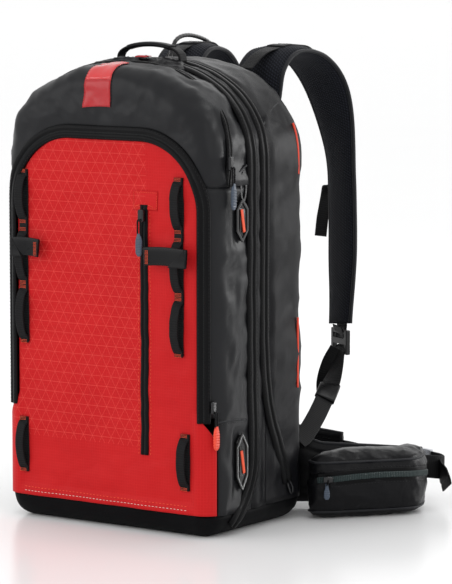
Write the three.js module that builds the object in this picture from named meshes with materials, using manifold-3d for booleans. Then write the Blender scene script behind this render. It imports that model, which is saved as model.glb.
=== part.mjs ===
// Avalanche airbag backpack, standing on its base.
// Millimetres, +Z up, -Y is the outer (front) face, +Y the harness side, +X the wearer's right.
// The origin is on the flat underside of the base.
import * as THREE from "three";
import { mergeVertices } from "three/addons/utils/BufferGeometryUtils.js";
import Module from "manifold-3d";

const wasm = await Module();
wasm.setup();

// ---------- driving dimensions ----------
const HALF_WIDTH = 148;
const BODY_TOP = 532;
const ARCH_RISE = 112;
const ARCH_POWER = 2.25;
const FRONT_Y = -115;
const BACK_Y = 80;
const FRONT_ROUND = 25;
const BACK_ROUND = 30;
const BASE_ROUND = 26;
const WALL = 4;
const GAP = 0.4;

const DOOR_HALF = 128;
const DOOR_BOTTOM = 141;
const DOOR_TOP = 448;
const DOOR_CORNER = 78;
const ZIP_BAND = 15;
const HEM_Z = 27;
const SIDE_TOP_Z = 417;
const WRAP_Y = -92;
const GUSSET_Y = -47;
const REAR_Y = -10;
const DIVIDER_Y = -14; // rear face of the panel between the load and the airbag compartment
const HOOD_ZIP_Y = -75;
const GUSSET_ZIP_Y = -40;

const POCKET_ZIP_X = 55;
const POCKET_ZIP_TOP = 376;
const TAB_Z = 319;
const STRAP_WIDTH = 68;
const STRAP_THICK = 13;
const WING_THICK = 13;
const CABLE_HOLE_Z = 486;

// ---------- materials ----------
const cloth = (color, roughness = 0.9) =>
  new THREE.MeshStandardMaterial({ color, roughness, metalness: 0 });
const RED = cloth(0xd42b2e, 0.8);
const COATED = cloth(0x3e3f41, 0.5);
const NYLON = cloth(0x1d1d1f, 0.75);
const WEBBING = cloth(0x171719, 0.8);
const MESH_FOAM = cloth(0x26282e, 0.95);
const HIP_FABRIC = cloth(0x2b2d31, 0.7);
const AIRBAG_CLOTH = cloth(0xe07020, 0.7);
const PULLER = cloth(0x5b6675, 0.5);
const ORANGE = cloth(0xe85c3c, 0.6);
const BLACK_PLASTIC = cloth(0x151516, 0.4);
const METAL = new THREE.MeshStandardMaterial({
  color: 0x9a9ca0,
  roughness: 0.35,
  metalness: 0.9,
});
const CARTRIDGE_STEEL = new THREE.MeshStandardMaterial({
  color: 0xb8bcc2,
  roughness: 0.3,
  metalness: 0.9,
});
const FRAME_PLASTIC = cloth(0x2a2a2c, 0.5);

// ---------- geometry helpers ----------
const V = (x, y, z) => new THREE.Vector3(x, y, z);

function solid(geometry) {
  const g = geometry.clone();
  g.deleteAttribute("normal");
  g.deleteAttribute("uv");
  const merged = mergeVertices(g, 1e-4);
  return new wasm.Manifold(
    new wasm.Mesh({
      numProp: 3,
      vertProperties: merged.attributes.position.array,
      triVerts: new Uint32Array(merged.index.array),
    }),
  );
}

function geometryOf(shape) {
  const m = shape.getMesh();
  const points = new Float32Array(m.numVert * 3);
  for (let i = 0; i < m.numVert; i++)
    points.set(m.vertProperties.subarray(i * m.numProp, i * m.numProp + 3), i * 3);
  return new THREE.BufferGeometry()
    .setAttribute("position", new THREE.BufferAttribute(points, 3))
    .setIndex(new THREE.BufferAttribute(new Uint32Array(m.triVerts), 1));
}

// Skin over closed rings of points, with a fan on each end ring.
function loft(rings) {
  const n = rings[0].length;
  const points = [];
  rings.forEach((ring) => ring.forEach((p) => points.push(p.x, p.y, p.z)));
  const faces = [];
  for (let r = 0; r + 1 < rings.length; r++)
    for (let i = 0; i < n; i++) {
      const j = (i + 1) % n;
      const a = r * n + i;
      const b = r * n + j;
      faces.push(a, b, b + n, a, b + n, a + n);
    }
  [0, rings.length - 1].forEach((r) => {
    const centre = V(0, 0, 0);
    rings[r].forEach((p) => centre.addScaledVector(p, 1 / n));
    const c = points.length / 3;
    points.push(centre.x, centre.y, centre.z);
    for (let i = 0; i < n; i++) {
      const a = r * n + i;
      const b = r * n + ((i + 1) % n);
      if (r === 0) faces.push(c, b, a);
      else faces.push(c, a, b);
    }
  });
  const g = new THREE.BufferGeometry();
  g.setAttribute("position", new THREE.BufferAttribute(new Float32Array(points), 3));
  g.setIndex(faces);
  return outward(g);
}

// A loft's faces point out whichever way its rings run.
function outward(g) {
  const p = g.attributes.position;
  const index = g.index.array;
  let volume = 0;
  const [a, b, c] = [V(), V(), V()];
  for (let i = 0; i < index.length; i += 3) {
    a.fromBufferAttribute(p, index[i]);
    b.fromBufferAttribute(p, index[i + 1]);
    c.fromBufferAttribute(p, index[i + 2]);
    volume += a.dot(b.cross(c));
  }
  if (volume < 0)
    for (let i = 0; i < index.length; i += 3)
      [index[i + 1], index[i + 2]] = [index[i + 2], index[i + 1]];
  return g;
}

const box = (x0, x1, y0, y1, z0, z1) =>
  new THREE.BoxGeometry(x1 - x0, y1 - y0, z1 - z0).translate(
    (x0 + x1) / 2,
    (y0 + y1) / 2,
    (z0 + z1) / 2,
  );

const slab = (y0, y1, z0 = -10, z1 = 700) => solid(box(-400, 400, y0, y1, z0, z1));

// Rounded box by a bevelled extrusion along z.
function softBox(x0, x1, y0, y1, z0, z1, radius, bevel = 1.5) {
  const s = new THREE.Shape();
  const [l, r, f, k] = [x0 + bevel, x1 - bevel, y0 + bevel, y1 - bevel];
  const q = Math.max(0.2, radius - bevel);
  s.moveTo(l + q, f);
  s.lineTo(r - q, f);
  s.absarc(r - q, f + q, q, -Math.PI / 2, 0);
  s.lineTo(r, k - q);
  s.absarc(r - q, k - q, q, 0, Math.PI / 2);
  s.lineTo(l + q, k);
  s.absarc(l + q, k - q, q, Math.PI / 2, Math.PI);
  s.lineTo(l, f + q);
  s.absarc(l + q, f + q, q, Math.PI, 1.5 * Math.PI);
  return new THREE.ExtrudeGeometry(s, {
    depth: z1 - z0 - 2 * bevel,
    bevelThickness: bevel,
    bevelSize: bevel,
    bevelSegments: 1,
    curveSegments: 4,
  }).translate(0, 0, z0 + bevel);
}

// A flat strap swept along a curve: side(t) is the direction of its width.
function ribbon(points, width, thick, side, steps = 24, ends = 0.55) {
  const curve = new THREE.CatmullRomCurve3(points, false, "centripetal");
  const rings = [];
  for (let i = 0; i <= steps; i++) {
    const t = i / steps;
    const p = curve.getPointAt(t);
    const along = curve.getTangentAt(t);
    const across = side(t, along).clone();
    across.addScaledVector(along, -across.dot(along)).normalize();
    const normal = along.clone().cross(across).normalize();
    const w = (typeof width === "function" ? width(t) : width) / 2;
    const h = (typeof thick === "function" ? thick(t) : thick) / 2;
    const edge = Math.min(w, h) * ends;
    const corners = [
      [w, -h + edge],
      [w, h - edge],
      [w - edge, h],
      [-w + edge, h],
      [-w, h - edge],
      [-w, -h + edge],
      [-w + edge, -h],
      [w - edge, -h],
    ];
    rings.push(
      corners.map(([u, v]) => p.clone().addScaledVector(across, u).addScaledVector(normal, v)),
    );
  }
  return loft(rings);
}

// Plan outline (x, y) extruded in z, with a small bevel.
function planBlock(outline, z0, z1, bevel = 2) {
  return new THREE.ExtrudeGeometry(new THREE.Shape(outline.map(([x, y]) => new THREE.Vector2(x, y))), {
    depth: z1 - z0 - 2 * bevel,
    bevelThickness: bevel,
    bevelSize: bevel,
    bevelOffset: -bevel,
    bevelSegments: 2,
    curveSegments: 6,
  }).translate(0, 0, z0 + bevel);
}

function roundedRectangle(halfWidth, low, high, r) {
  const outline = [];
  for (const [cx, cz, start] of [
    [halfWidth - r, low + r, -Math.PI / 2],
    [halfWidth - r, high - r, 0],
    [-halfWidth + r, high - r, Math.PI / 2],
    [-halfWidth + r, low + r, Math.PI],
  ])
    for (let i = 0; i <= 4; i++) {
      const a = start + (i / 4) * (Math.PI / 2);
      outline.push([cx + r * Math.cos(a), cz + r * Math.sin(a)]);
    }
  return outline;
}

const cylinder = (r, length, sides = 20) => new THREE.CylinderGeometry(r, r, length, sides);

// ---------- the pack's outer form ----------
// One cross-section in the XZ plane: a superellipse arch over straight sides and rounded bottom corners.
function section(y, inset) {
  const w = HALF_WIDTH - inset;
  const top = BODY_TOP - inset;
  const bottom = inset;
  const spring = BODY_TOP - ARCH_RISE;
  const q = Math.max(4, BASE_ROUND - inset);
  const ring = [];
  for (const [sx, start] of [
    [-1, Math.PI],
    [1, 1.5 * Math.PI],
  ])
    for (let i = 0; i <= 3; i++) {
      const a = start + (i / 3) * (Math.PI / 2);
      ring.push(V(sx * (w - q) + q * Math.cos(a), y, bottom + q + q * Math.sin(a)));
    }
  const steps = 18;
  for (let i = 0; i <= steps; i++) {
    const a = (i / steps) * Math.PI;
    const c = Math.cos(a);
    const x = w * Math.sign(c) * Math.abs(c) ** (2 / ARCH_POWER);
    const z = spring + (top - spring) * Math.sin(a) ** (2 / ARCH_POWER);
    ring.push(V(x, y, z));
  }
  return ring;
}

// How far the skin draws in at depth y because of the rounded front and back edges.
function drawIn(y) {
  const front = FRONT_Y + FRONT_ROUND - y;
  const back = y - (BACK_Y - BACK_ROUND);
  if (front > 0) return FRONT_ROUND - Math.sqrt(Math.max(0, FRONT_ROUND ** 2 - front ** 2));
  if (back > 0) return BACK_ROUND - Math.sqrt(Math.max(0, BACK_ROUND ** 2 - back ** 2));
  return 0;
}

// The whole pack grown by `grow` (negative for the inside).
function form(grow) {
  const stations = [];
  for (let i = 0; i <= 5; i++)
    stations.push(FRONT_Y + FRONT_ROUND * (1 - Math.cos((i / 5) * (Math.PI / 2))));
  stations.push(GUSSET_Y, REAR_Y);
  for (let i = 0; i <= 4; i++)
    stations.push(BACK_Y - BACK_ROUND * (1 - Math.sin((i / 4) * (Math.PI / 2))));
  const middle = (FRONT_Y + BACK_Y) / 2;
  const stretch = 1 + (2 * grow) / (BACK_Y - FRONT_Y);
  return solid(loft(stations.map((y) => section(middle + (y - middle) * stretch, drawIn(y) - grow))));
}

const outer = form(0);
const inner = form(-WALL);
const skin = outer.subtract(inner);

// Door outline in (x, z): straight sides, big upper corners, grown by g.
function doorPrism(g, y0, y1, bottom) {
  const w = DOOR_HALF + g;
  const top = DOOR_TOP + g;
  const r = DOOR_CORNER + g;
  const s = new THREE.Shape();
  s.moveTo(-w, bottom);
  s.lineTo(w, bottom);
  s.lineTo(w, top - r);
  s.absarc(w - r, top - r, r, 0, Math.PI / 2);
  s.lineTo(-w + r, top);
  s.absarc(-w + r, top - r, r, Math.PI / 2, Math.PI);
  s.lineTo(-w, bottom);
  const g3 = new THREE.ExtrudeGeometry(s, { depth: y1 - y0, bevelEnabled: false, curveSegments: 10 });
  return solid(g3.rotateX(Math.PI / 2).translate(0, y1, 0));
}

const node = new Map();
const group = new THREE.Group();

function add(name, shape, material) {
  const geometry = shape.isBufferGeometry ? shape : geometryOf(shape);
  const mesh = new THREE.Mesh(geometry, material);
  mesh.name = name;
  node.set(name, mesh);
  group.add(mesh);
  return mesh;
}

const largest = (shape) =>
  shape.decompose().reduce((a, b) => (b.volume() > a.volume() ? b : a));

// ---------- shell panels ----------
function shell() {
  const door = skin.intersect(doorPrism(0, -200, -100, DOOR_BOTTOM));
  add("front_door", door, RED);

  const bandOuter = doorPrism(ZIP_BAND + 10, -200, WRAP_Y, DOOR_BOTTOM).intersect(
    doorPrism(ZIP_BAND, -200, WRAP_Y, DOOR_BOTTOM).add(
      slab(-200, WRAP_Y, DOOR_BOTTOM, DOOR_TOP - DOOR_CORNER + 20),
    ),
  );
  const doorHole = doorPrism(GAP, -200, -60, DOOR_BOTTOM - 1);
  const band = largest(skin.intersect(bandOuter).subtract(doorHole));
  add("front_zip_tape", band, WEBBING);

  const lower = skin.intersect(slab(-200, WRAP_Y, HEM_Z, DOOR_BOTTOM - GAP));
  add("lower_front_panel", lower, RED);

  const bandHole = doorPrism(ZIP_BAND + GAP, -200, WRAP_Y + GAP, DOOR_BOTTOM - 1);
  const upper = skin
    .intersect(slab(-200, GUSSET_Y - GAP, SIDE_TOP_Z, 700))
    .subtract(bandHole)
    .subtract(doorHole);
  add("hood_panel", largest(upper), COATED);

  const sides = skin.intersect(slab(WRAP_Y + GAP, GUSSET_Y - GAP, HEM_Z, SIDE_TOP_Z - GAP));
  const right = solid(box(20, 400, -300, 300, -10, 700));
  add("side_panel_right", sides.intersect(right), COATED);
  add("side_panel_left", sides.subtract(right), COATED);

  const gusset = skin.intersect(slab(GUSSET_Y, REAR_Y - GAP, HEM_Z, 700));
  add("compression_gusset", gusset, COATED);
  const cableHole = solid(cylinder(6, 60, 12).translate(-57, BACK_Y, CABLE_HOLE_Z));
  const rear = skin.intersect(slab(REAR_Y, 200, HEM_Z, 700)).subtract(cableHole);
  add("airbag_compartment_shell", rear, NYLON);

  const hollow = solid(box(-126, 126, FRONT_Y + 12, BACK_Y - 14, 10, 40));
  add("base_boot", outer.intersect(slab(-200, 200, -5, HEM_Z - GAP)).subtract(hollow), NYLON);

  const clear = form(-WALL - GAP);
  const divider = clear.intersect(slab(DIVIDER_Y - 3, DIVIDER_Y, HEM_Z + 0.4, 700));
  add("divider_panel", divider, FRAME_PLASTIC);
}

// Zip tapes that run up one side, over the top and down the other.
function archTapes() {
  const proud = form(2.2).subtract(form(0.3));
  const tilt = (y, z, degrees, thick, from) => {
    const g = new THREE.BoxGeometry(800, thick, 1400).rotateX(THREE.MathUtils.degToRad(degrees));
    return solid(g.translate(0, y, z)).intersect(slab(-300, 300, from, 700));
  };
  add("hood_zip_tape", proud.intersect(tilt(HOOD_ZIP_Y, 470, -9, 10, 400)), WEBBING);
  add("gusset_zip_tape", proud.intersect(tilt(GUSSET_ZIP_Y, 300, 0, 11, 60)), WEBBING);
  add("airbag_zip_tape", proud.intersect(tilt(REAR_Y, 300, 0, 9, 60)), BLACK_PLASTIC);
}

// ---------- pieces on the front ----------
function frontTrim() {
  const y = FRONT_Y - GAP;
  const zipX = POCKET_ZIP_X;
  add(
    "pocket_zip_tape",
    softBox(zipX - 6, zipX + 6, y - 2, y, DOOR_BOTTOM + 1, POCKET_ZIP_TOP, 1, 0.4),
    WEBBING,
  );
  // Daisy strips: webbing sewn flat at bar-tacks and standing proud between them.
  const loops = [
    [403, 352],
    [335, 281],
    [268, 212],
  ];
  const strip = (spans) => {
    const low = spans.at(-1)[1] - 6;
    const high = spans[0][0] + 6;
    let s = solid(box(-4, 4, y - 1.6, y, low, high));
    spans.forEach(([top, bottom]) => {
      const arc = [];
      for (let i = 0; i <= 8; i++) {
        const t = i / 8;
        arc.push(V(0, y - 0.8 - 7 * Math.sin(Math.PI * t), top + (bottom - top) * t));
      }
      const gap = solid(box(-6, 6, y - 3, y + 1, bottom + 4, top - 4));
      s = s.subtract(gap).add(solid(ribbon(arc, 8, 1.6, () => V(1, 0, 0), 8, 0.3)));
    });
    return s;
  };
  // Between loops the strip is one piece; a thin strip behind each loop keeps it so.
  for (const [side, x, lowerX] of [
    ["right", 104, 112],
    ["left", -118, -119],
  ]) {
    add("daisy_strip_" + side, geometryOf(strip(loops)).translate(x, 0, 0), WEBBING);
    add("daisy_strip_lower_" + side, geometryOf(strip([[113, 60]])).translate(lowerX, 0, 0), WEBBING);
  }
  // Keeper tabs fold across the daisy strips.
  const tab = (length) =>
    planBlockXZ(
      [
        [0, -11],
        [length - 6, -11],
        [length, -4],
        [length, 9],
        [length - 12, 11],
        [0, 11],
      ],
      2.6,
    );
  const tabY = FRONT_Y - 12.4;
  add("keeper_tab_right", tab(60).translate(63, tabY, TAB_Z), BLACK_PLASTIC);
  add("keeper_tab_left", tab(40).rotateY(Math.PI).translate(-88, tabY, TAB_Z), BLACK_PLASTIC);
}

function planBlockXZ(outline, thick) {
  const s = new THREE.Shape(outline.map(([x, z]) => new THREE.Vector2(x, z)));
  const g = new THREE.ExtrudeGeometry(s, { depth: thick, bevelEnabled: false });
  return g.rotateX(Math.PI / 2).translate(0, thick, 0);
}

// ---------- zip sliders, pullers, rings and ports ----------
function slider(name, x, y, z, size = [8, 5, 14]) {
  const [w, d, h] = size;
  const body = softBox(x - w / 2, x + w / 2, y - d / 2, y + d / 2, z - h / 2, z + h / 2, 2, 1);
  return add(name, body, BLACK_PLASTIC);
}

// A hanging puller: cord loop and grip, as one flat tapered bar below its pivot.
function puller(name, x, y, z, length, width, material, turn = 0) {
  const s = new THREE.Shape();
  s.moveTo(-1.5, 0);
  s.lineTo(1.5, 0);
  s.lineTo(1.5, -length * 0.35);
  s.lineTo(width / 2, -length * 0.45);
  s.lineTo(width / 2 - 0.6, -length + 2);
  s.lineTo(width / 2 - 2, -length);
  s.lineTo(-width / 2 + 2, -length);
  s.lineTo(-width / 2 + 0.6, -length + 2);
  s.lineTo(-width / 2, -length * 0.45);
  s.lineTo(-1.5, -length * 0.35);
  const g = new THREE.ExtrudeGeometry(s, {
    depth: 2,
    bevelThickness: 0.6,
    bevelSize: 0.6,
    bevelOffset: -0.6,
    bevelSegments: 1,
  });
  g.translate(0, 0, -1).rotateX(Math.PI / 2).rotateZ(turn);
  return add(name, g.translate(x, y, z), material);
}

function fastenings() {
  const y = FRONT_Y - 5.4;
  slider("pocket_zip_slider", POCKET_ZIP_X, y, POCKET_ZIP_TOP - 12);
  puller("pocket_zip_puller", POCKET_ZIP_X, y - 4.4, POCKET_ZIP_TOP - 16, 42, 9, PULLER);
  slider("front_zip_slider", HALF_WIDTH - 1.7, -108, DOOR_BOTTOM + 10, [4, 8, 14]);
  puller("front_zip_puller", HALF_WIDTH + 2.4, -108, DOOR_BOTTOM + 6, 44, 10, ORANGE, Math.PI / 2);
  slider("hood_zip_slider", HALF_WIDTH + 5.2, -84.6, SIDE_TOP_Z + 8, [5, 8, 16]);
  puller("hood_zip_puller", HALF_WIDTH + 9.6, -84.6, SIDE_TOP_Z + 4, 48, 9, PULLER, Math.PI / 2);

  const side = HALF_WIDTH + GAP;
  const hexagon = (low, high) => {
    const h = (high - low) / 2;
    const s = new THREE.Shape();
    [
      [-10, -h + 12],
      [4, -h],
      [11, -h + 8],
      [11, h - 12],
      [-3, h],
      [-10, h - 8],
    ].forEach(([a, b], i) => (i ? s.lineTo(a, b) : s.moveTo(a, b)));
    const hole = new THREE.Path();
    [
      [-6, -h + 15],
      [3, -h + 7],
      [7, -h + 11],
      [7, h - 15],
      [-2, h - 7],
      [-6, h - 11],
    ].forEach(([a, b], i) => (i ? hole.lineTo(a, b) : hole.moveTo(a, b)));
    s.holes.push(hole);
    return new THREE.ExtrudeGeometry(s, { depth: 3, bevelEnabled: false })
      .rotateX(Math.PI / 2)
      .rotateZ(Math.PI / 2)
      .translate(side, -60, (low + high) / 2);
  };
  add("tool_port_upper", hexagon(336, 382), BLACK_PLASTIC);
  add("tool_port_lower", hexagon(52, 115), BLACK_PLASTIC);

  const ring = new THREE.Shape();
  ring.absellipse(0, 0, 6.5, 17, 0, 2 * Math.PI);
  const eye = new THREE.Path();
  eye.absellipse(0, 0, 3.6, 14, 0, 2 * Math.PI);
  ring.holes.push(eye);
  add(
    "side_ring",
    new THREE.ExtrudeGeometry(ring, { depth: 3, bevelEnabled: false, curveSegments: 8 })
      .rotateX(Math.PI / 2)
      .rotateZ(Math.PI / 2)
      .translate(side, -56, SIDE_TOP_Z - 20),
    BLACK_PLASTIC,
  );
}

// ---------- what is inside ----------
function insides() {
  add("frame_sheet", softBox(-105, 105, 71, 73.5, 40, 470, 1, 0.4), FRAME_PLASTIC);
  for (const [side, sx] of [
    ["right", 1],
    ["left", -1],
  ])
    add("frame_stay_" + side, softBox(sx * 45 - 10, sx * 45 + 10, 66.5, 70.5, 45, 460, 1, 0.4), METAL);
  add("airbag_folded", softBox(-100, 100, 8, 56, 330, 500, 18, 6), AIRBAG_CLOTH);

  const bottle = new THREE.LatheGeometry(
    [
      [0, 0],
      [22, 0],
      [26, 5],
      [26, 150],
      [18, 168],
      [9, 174],
      [9, 188],
      [0, 188],
    ].map(([r, z]) => new THREE.Vector2(r, z)),
    24,
  ).rotateX(Math.PI / 2);
  add("gas_cartridge", bottle.translate(-85, 33, 60), CARTRIDGE_STEEL);
  const body = solid(softBox(-101, -69, 17, 49, 234, 290, 4, 1.5));
  const seat = solid(cylinder(9.6, 40, 24).rotateX(Math.PI / 2).translate(-85, 33, 232));
  const bore = solid(cylinder(4.3, 60, 16).rotateX(Math.PI / 2).translate(-85, 33, 290));
  add("inflation_valve_body", body.subtract(seat).subtract(bore), METAL);
  const pin = solid(cylinder(4, 24, 16).rotateX(Math.PI / 2).translate(-85, 33, 282));
  const head = solid(cylinder(7, 5, 16).rotateX(Math.PI / 2).translate(-85, 33, 296));
  add("valve_piston", pin.add(head), METAL);
}

// ---------- back panel and harness ----------
function backPanel() {
  const pad = (halfWidth, z0, z1, thick) =>
    planBlock(roundedRectangle(halfWidth, z0, z1, 22), 0, thick, 4)
      .rotateX(Math.PI / 2)
      .translate(0, BACK_Y + 0.6 + thick, 0);
  add("back_panel_pad", pad(98, 150, 470, 14), MESH_FOAM);
  add("lumbar_pad", pad(92, 22, 146, 16), MESH_FOAM);
}

const STRAP_ROUTE = [
  [60, 103, 486],
  [61, 113, 522],
  [64, 142, 541],
  [70, 190, 532],
  [77, 228, 492],
  [84, 246, 420],
  [90, 244, 340],
  [95, 236, 262],
  [98, 228, 208],
];

function harness() {
  for (const [side, sx] of [
    ["right", 1],
    ["left", -1],
  ]) {
    const at = (p) => V(sx * p[0], p[1], p[2]);
    const across = (t) => {
      const turn = THREE.MathUtils.degToRad(29) * THREE.MathUtils.smoothstep(t, 0.3, 0.62);
      return V(sx * Math.cos(turn), -Math.sin(turn), 0);
    };
    const width = (t) => STRAP_WIDTH - 14 * THREE.MathUtils.smoothstep(t, 0.8, 1);
    add(
      "shoulder_strap_" + side,
      ribbon(STRAP_ROUTE.map(at), width, STRAP_THICK, across, 30),
      MESH_FOAM,
    );

    const turn = sx * THREE.MathUtils.degToRad(-29);
    const frame = solid(softBox(-20, 20, -3, 3, -16, 14, 1.5, 0.8))
      .subtract(solid(box(-14, 14, -8, 8, 3, 9)))
      .subtract(solid(box(-14, 14, -8, 8, -11, -4)));
    add(
      "ladder_lock_" + side,
      geometryOf(frame).rotateZ(turn).translate(sx * 99.5, 226, 188),
      BLACK_PLASTIC,
    );
    add(
      "lower_strap_web_" + side,
      ribbon(
        [
          [103, 216, 166],
          [118, 180, 140],
          [134, 134, 112],
          [143, 100, 90],
        ].map(at),
        24,
        2,
        (t) => V(0.45 * sx, -0.35, 0.82),
        14,
      ),
      WEBBING,
    );

    // Sternum strap half: a slider on the strap's face, then webbing that hangs free.
    const slide = new THREE.BoxGeometry(16, 6, 22).rotateZ(turn);
    add("sternum_slider_" + side, slide.translate(sx * 82, 264, 385), BLACK_PLASTIC);
    const hang = [
      V(sx * 72, 271, 385),
      V(sx * 58, 277, 381),
      V(sx * 46, 278, 362),
      V(sx * 42, 274, 335),
      V(sx * 41, 270, 308),
    ];
    add(
      "sternum_web_" + side,
      ribbon(
        hang,
        18,
        2.2,
        () => V(sx * 0.6, 0.1, 1),
        12,
      ),
      WEBBING,
    );
  }
}

// ---------- hip belt ----------
function hipBelt() {
  const wing = (points, low, high) => {
    const curve = new THREE.CatmullRomCurve3(points.map(([x, y]) => V(x, y, 0)), false, "centripetal");
    const rings = [];
    const steps = 22;
    for (let i = 0; i <= steps; i++) {
      const t = i / steps;
      const p = curve.getPointAt(t);
      const along = curve.getTangentAt(t);
      const n = V(-along.y, along.x, 0);
      const end = Math.min(1, Math.min(t, 1 - t) * 14 + 0.45);
      const h = (WING_THICK / 2) * end;
      const [z0, z1] = [low(t), high(t)];
      const q = Math.min(5, h);
      rings.push(
        [
          [-h, z0 + q],
          [-h + q * 0.8, z0],
          [h - q * 0.8, z0],
          [h, z0 + q],
          [h, z1 - q],
          [h - q * 0.8, z1],
          [-h + q * 0.8, z1],
          [-h, z1 - q],
        ].map(([u, z]) => V(p.x + n.x * u, p.y + n.y * u, z)),
      );
    }
    return loft(rings);
  };
  const low = (t) => 8 + 10 * t * t;
  const high = (t) => 118 - 36 * THREE.MathUtils.smoothstep(t, 0, 0.4) - 14 * t * t;
  add(
    "hip_belt_wing_right",
    wing(
      [
        [66, 106],
        [104, 108],
        [136, 124],
        [170, 154],
        [199, 190],
        [217, 224],
      ],
      low,
      high,
    ),
    HIP_FABRIC,
  );
  add(
    "hip_belt_wing_left",
    wing(
      [
        [-66, 106],
        [-98, 112],
        [-112, 146],
        [-90, 200],
        [-36, 238],
        [26, 256],
        [80, 262],
      ],
      low,
      high,
    ),
    HIP_FABRIC,
  );
  // The pocket on the right wing's outer side.
  add(
    "hip_pocket",
    planBlock(
      [
        [158, 66],
        [176, 62],
        [214, 100],
        [246, 142],
        [252, 164],
        [243, 188],
        [227, 208],
        [208, 184],
        [178, 147],
        [154, 121],
      ],
      4,
      72,
      6,
    ),
    HIP_FABRIC,
  );
  const upright = () => V(0, 0, 1);
  const rightWeb = [
    V(219, 229, 44),
    V(229, 243, 42),
    V(229, 256, 40),
    V(217, 268, 40),
    V(203, 274, 40),
  ];
  add("hip_web_right", ribbon(rightWeb, 28, 2, upright, 14), WEBBING);
  const leftWeb = [V(84, 263, 44), V(104, 263, 42), V(120, 261, 40), V(132, 258, 40)];
  add("hip_web_left", ribbon(leftWeb, 28, 2, upright, 10), WEBBING);
  const buckle = (name, x, y, turn) => {
    const plate = solid(softBox(-3, 3, -17, 17, -16, 16, 1, 0.6)).subtract(solid(box(-9, 9, 4, 10, -12, 12)));
    return add(name, geometryOf(plate).rotateZ(turn).translate(x, y, 40), METAL);
  };
  buckle("hip_buckle_hook_left", 151, 254, -1.75);
  buckle("hip_buckle_slot_right", 184, 280, 1.27);
  const run = V(100, 104, 0).normalize();
  const zipSlider = solid(softBox(-8, 8, -3, 3, -3.5, 3.5, 1, 0.5)).add(
    solid(softBox(-10, -5, -5.5, -3.2, -24, 2, 1, 0.4)).add(solid(box(-9, -6, -4, -2, -2, 1))),
  );
  add(
    "hip_zip_slider",
    geometryOf(zipSlider)
      .rotateZ(Math.atan2(run.y, run.x))
      .translate(193.5, 68, 50),
    PULLER,
  );
}

// ---------- handles and trigger ----------
function handles() {
  const arc = [];
  for (let i = 0; i <= 12; i++) {
    const a = (i / 12) * Math.PI;
    arc.push(V(44 * Math.cos(a), -24.5, 536 + 17 * Math.sin(a) ** 0.8));
  }
  add("grab_handle", ribbon(arc, 14, 3, () => V(0, 1, 0), 20, 0.4), WEBBING);

  // Trigger: a T-handle stowed on the wearer's left strap, its pull cable along that strap.
  const grip = solid(cylinder(8, 62, 14).rotateZ(Math.PI / 2)).add(
    solid(cylinder(5, 34, 12).rotateX(Math.PI / 2).translate(0, 0, 17)),
  );
  add("trigger_handle", geometryOf(grip).rotateZ(0.5).translate(-92, 266, 300), ORANGE);
  const cable = (name, route, steps) => {
    const line = route.map(([x, y, z]) => V(x, y, z));
    return add(name, ribbon(line, 5, 5, () => V(1, 0, 0), steps, 0.6), BLACK_PLASTIC);
  };
  cable(
    "trigger_cable_outer",
    [
      [-93, 266, 338],
      [-92, 268, 380],
      [-88, 267, 425],
      [-81, 248, 495],
      [-74, 205, 540],
      [-66, 150, 556],
      [-60, 108, 553],
      [-57, 90, 530],
      [-57, 89, 506],
    ],
    30,
  );
  cable(
    "trigger_cable_inner",
    [
      [-57, 88, 496],
      [-57, 80, CABLE_HOLE_Z],
      [-59, 63, 474],
      [-72, 62.5, 420],
      [-84, 62.5, 345],
      [-85, 50, 318],
      [-85, 35, 312],
    ],
    22,
  );
}

shell();
archTapes();
frontTrim();
fastenings();
insides();
backPanel();
harness();
hipBelt();
handles();
export default group;
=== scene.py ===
import math

import bmesh
import bpy
import numpy as np
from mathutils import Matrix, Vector, noise
from mathutils.bvhtree import BVHTree


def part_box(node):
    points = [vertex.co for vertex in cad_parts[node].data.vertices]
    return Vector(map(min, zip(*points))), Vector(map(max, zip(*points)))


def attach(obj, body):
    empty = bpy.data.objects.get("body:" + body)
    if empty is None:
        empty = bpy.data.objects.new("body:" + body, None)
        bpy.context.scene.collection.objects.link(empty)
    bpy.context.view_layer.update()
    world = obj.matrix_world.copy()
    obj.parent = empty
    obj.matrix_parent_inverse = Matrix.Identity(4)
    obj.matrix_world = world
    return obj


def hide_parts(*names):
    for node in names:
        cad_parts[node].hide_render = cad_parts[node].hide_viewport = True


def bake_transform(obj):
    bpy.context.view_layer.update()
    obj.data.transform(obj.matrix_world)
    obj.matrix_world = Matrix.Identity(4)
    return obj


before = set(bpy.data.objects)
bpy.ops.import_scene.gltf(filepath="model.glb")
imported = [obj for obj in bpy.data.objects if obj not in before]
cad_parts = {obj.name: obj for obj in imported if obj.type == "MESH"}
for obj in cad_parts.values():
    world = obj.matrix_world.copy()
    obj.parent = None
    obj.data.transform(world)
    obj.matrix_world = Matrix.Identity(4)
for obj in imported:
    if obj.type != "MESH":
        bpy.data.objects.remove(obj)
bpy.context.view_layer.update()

MM = 0.001


# ---------- measures taken from the frame, in millimetres ----------
def box_mm(node):
    low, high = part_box(node)
    return np.array(low) / MM, np.array(high) / MM


REAR_LOW, (HALF_WIDTH, BACK_Y, BODY_TOP) = box_mm("airbag_compartment_shell")
REAR_Y = REAR_LOW[1]
GUSSET_Y = box_mm("compression_gusset")[0][1]
(_, FRONT_Y, DOOR_BOTTOM), (DOOR_HALF, _, DOOR_TOP) = box_mm("front_door")
HEM_Z = box_mm("lower_front_panel")[0][2]
POCKET_ZIP = (box_mm("pocket_zip_tape")[0] + box_mm("pocket_zip_tape")[1]) / 2
POCKET_ZIP_TOP = box_mm("pocket_zip_tape")[1][2]
PORTS = [box_mm("tool_port_" + name) for name in ("upper", "lower")]
POCKET_ZIP_BOTTOM = 90
DOOR_CORNER = 78
ZIP_BAND = 15
ARCH_RISE = 112
ARCH_POWER = 2.25
FRONT_ROUND = 25
BACK_ROUND = 30
BASE_ROUND = 26
SPRING = BODY_TOP - ARCH_RISE


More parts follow.
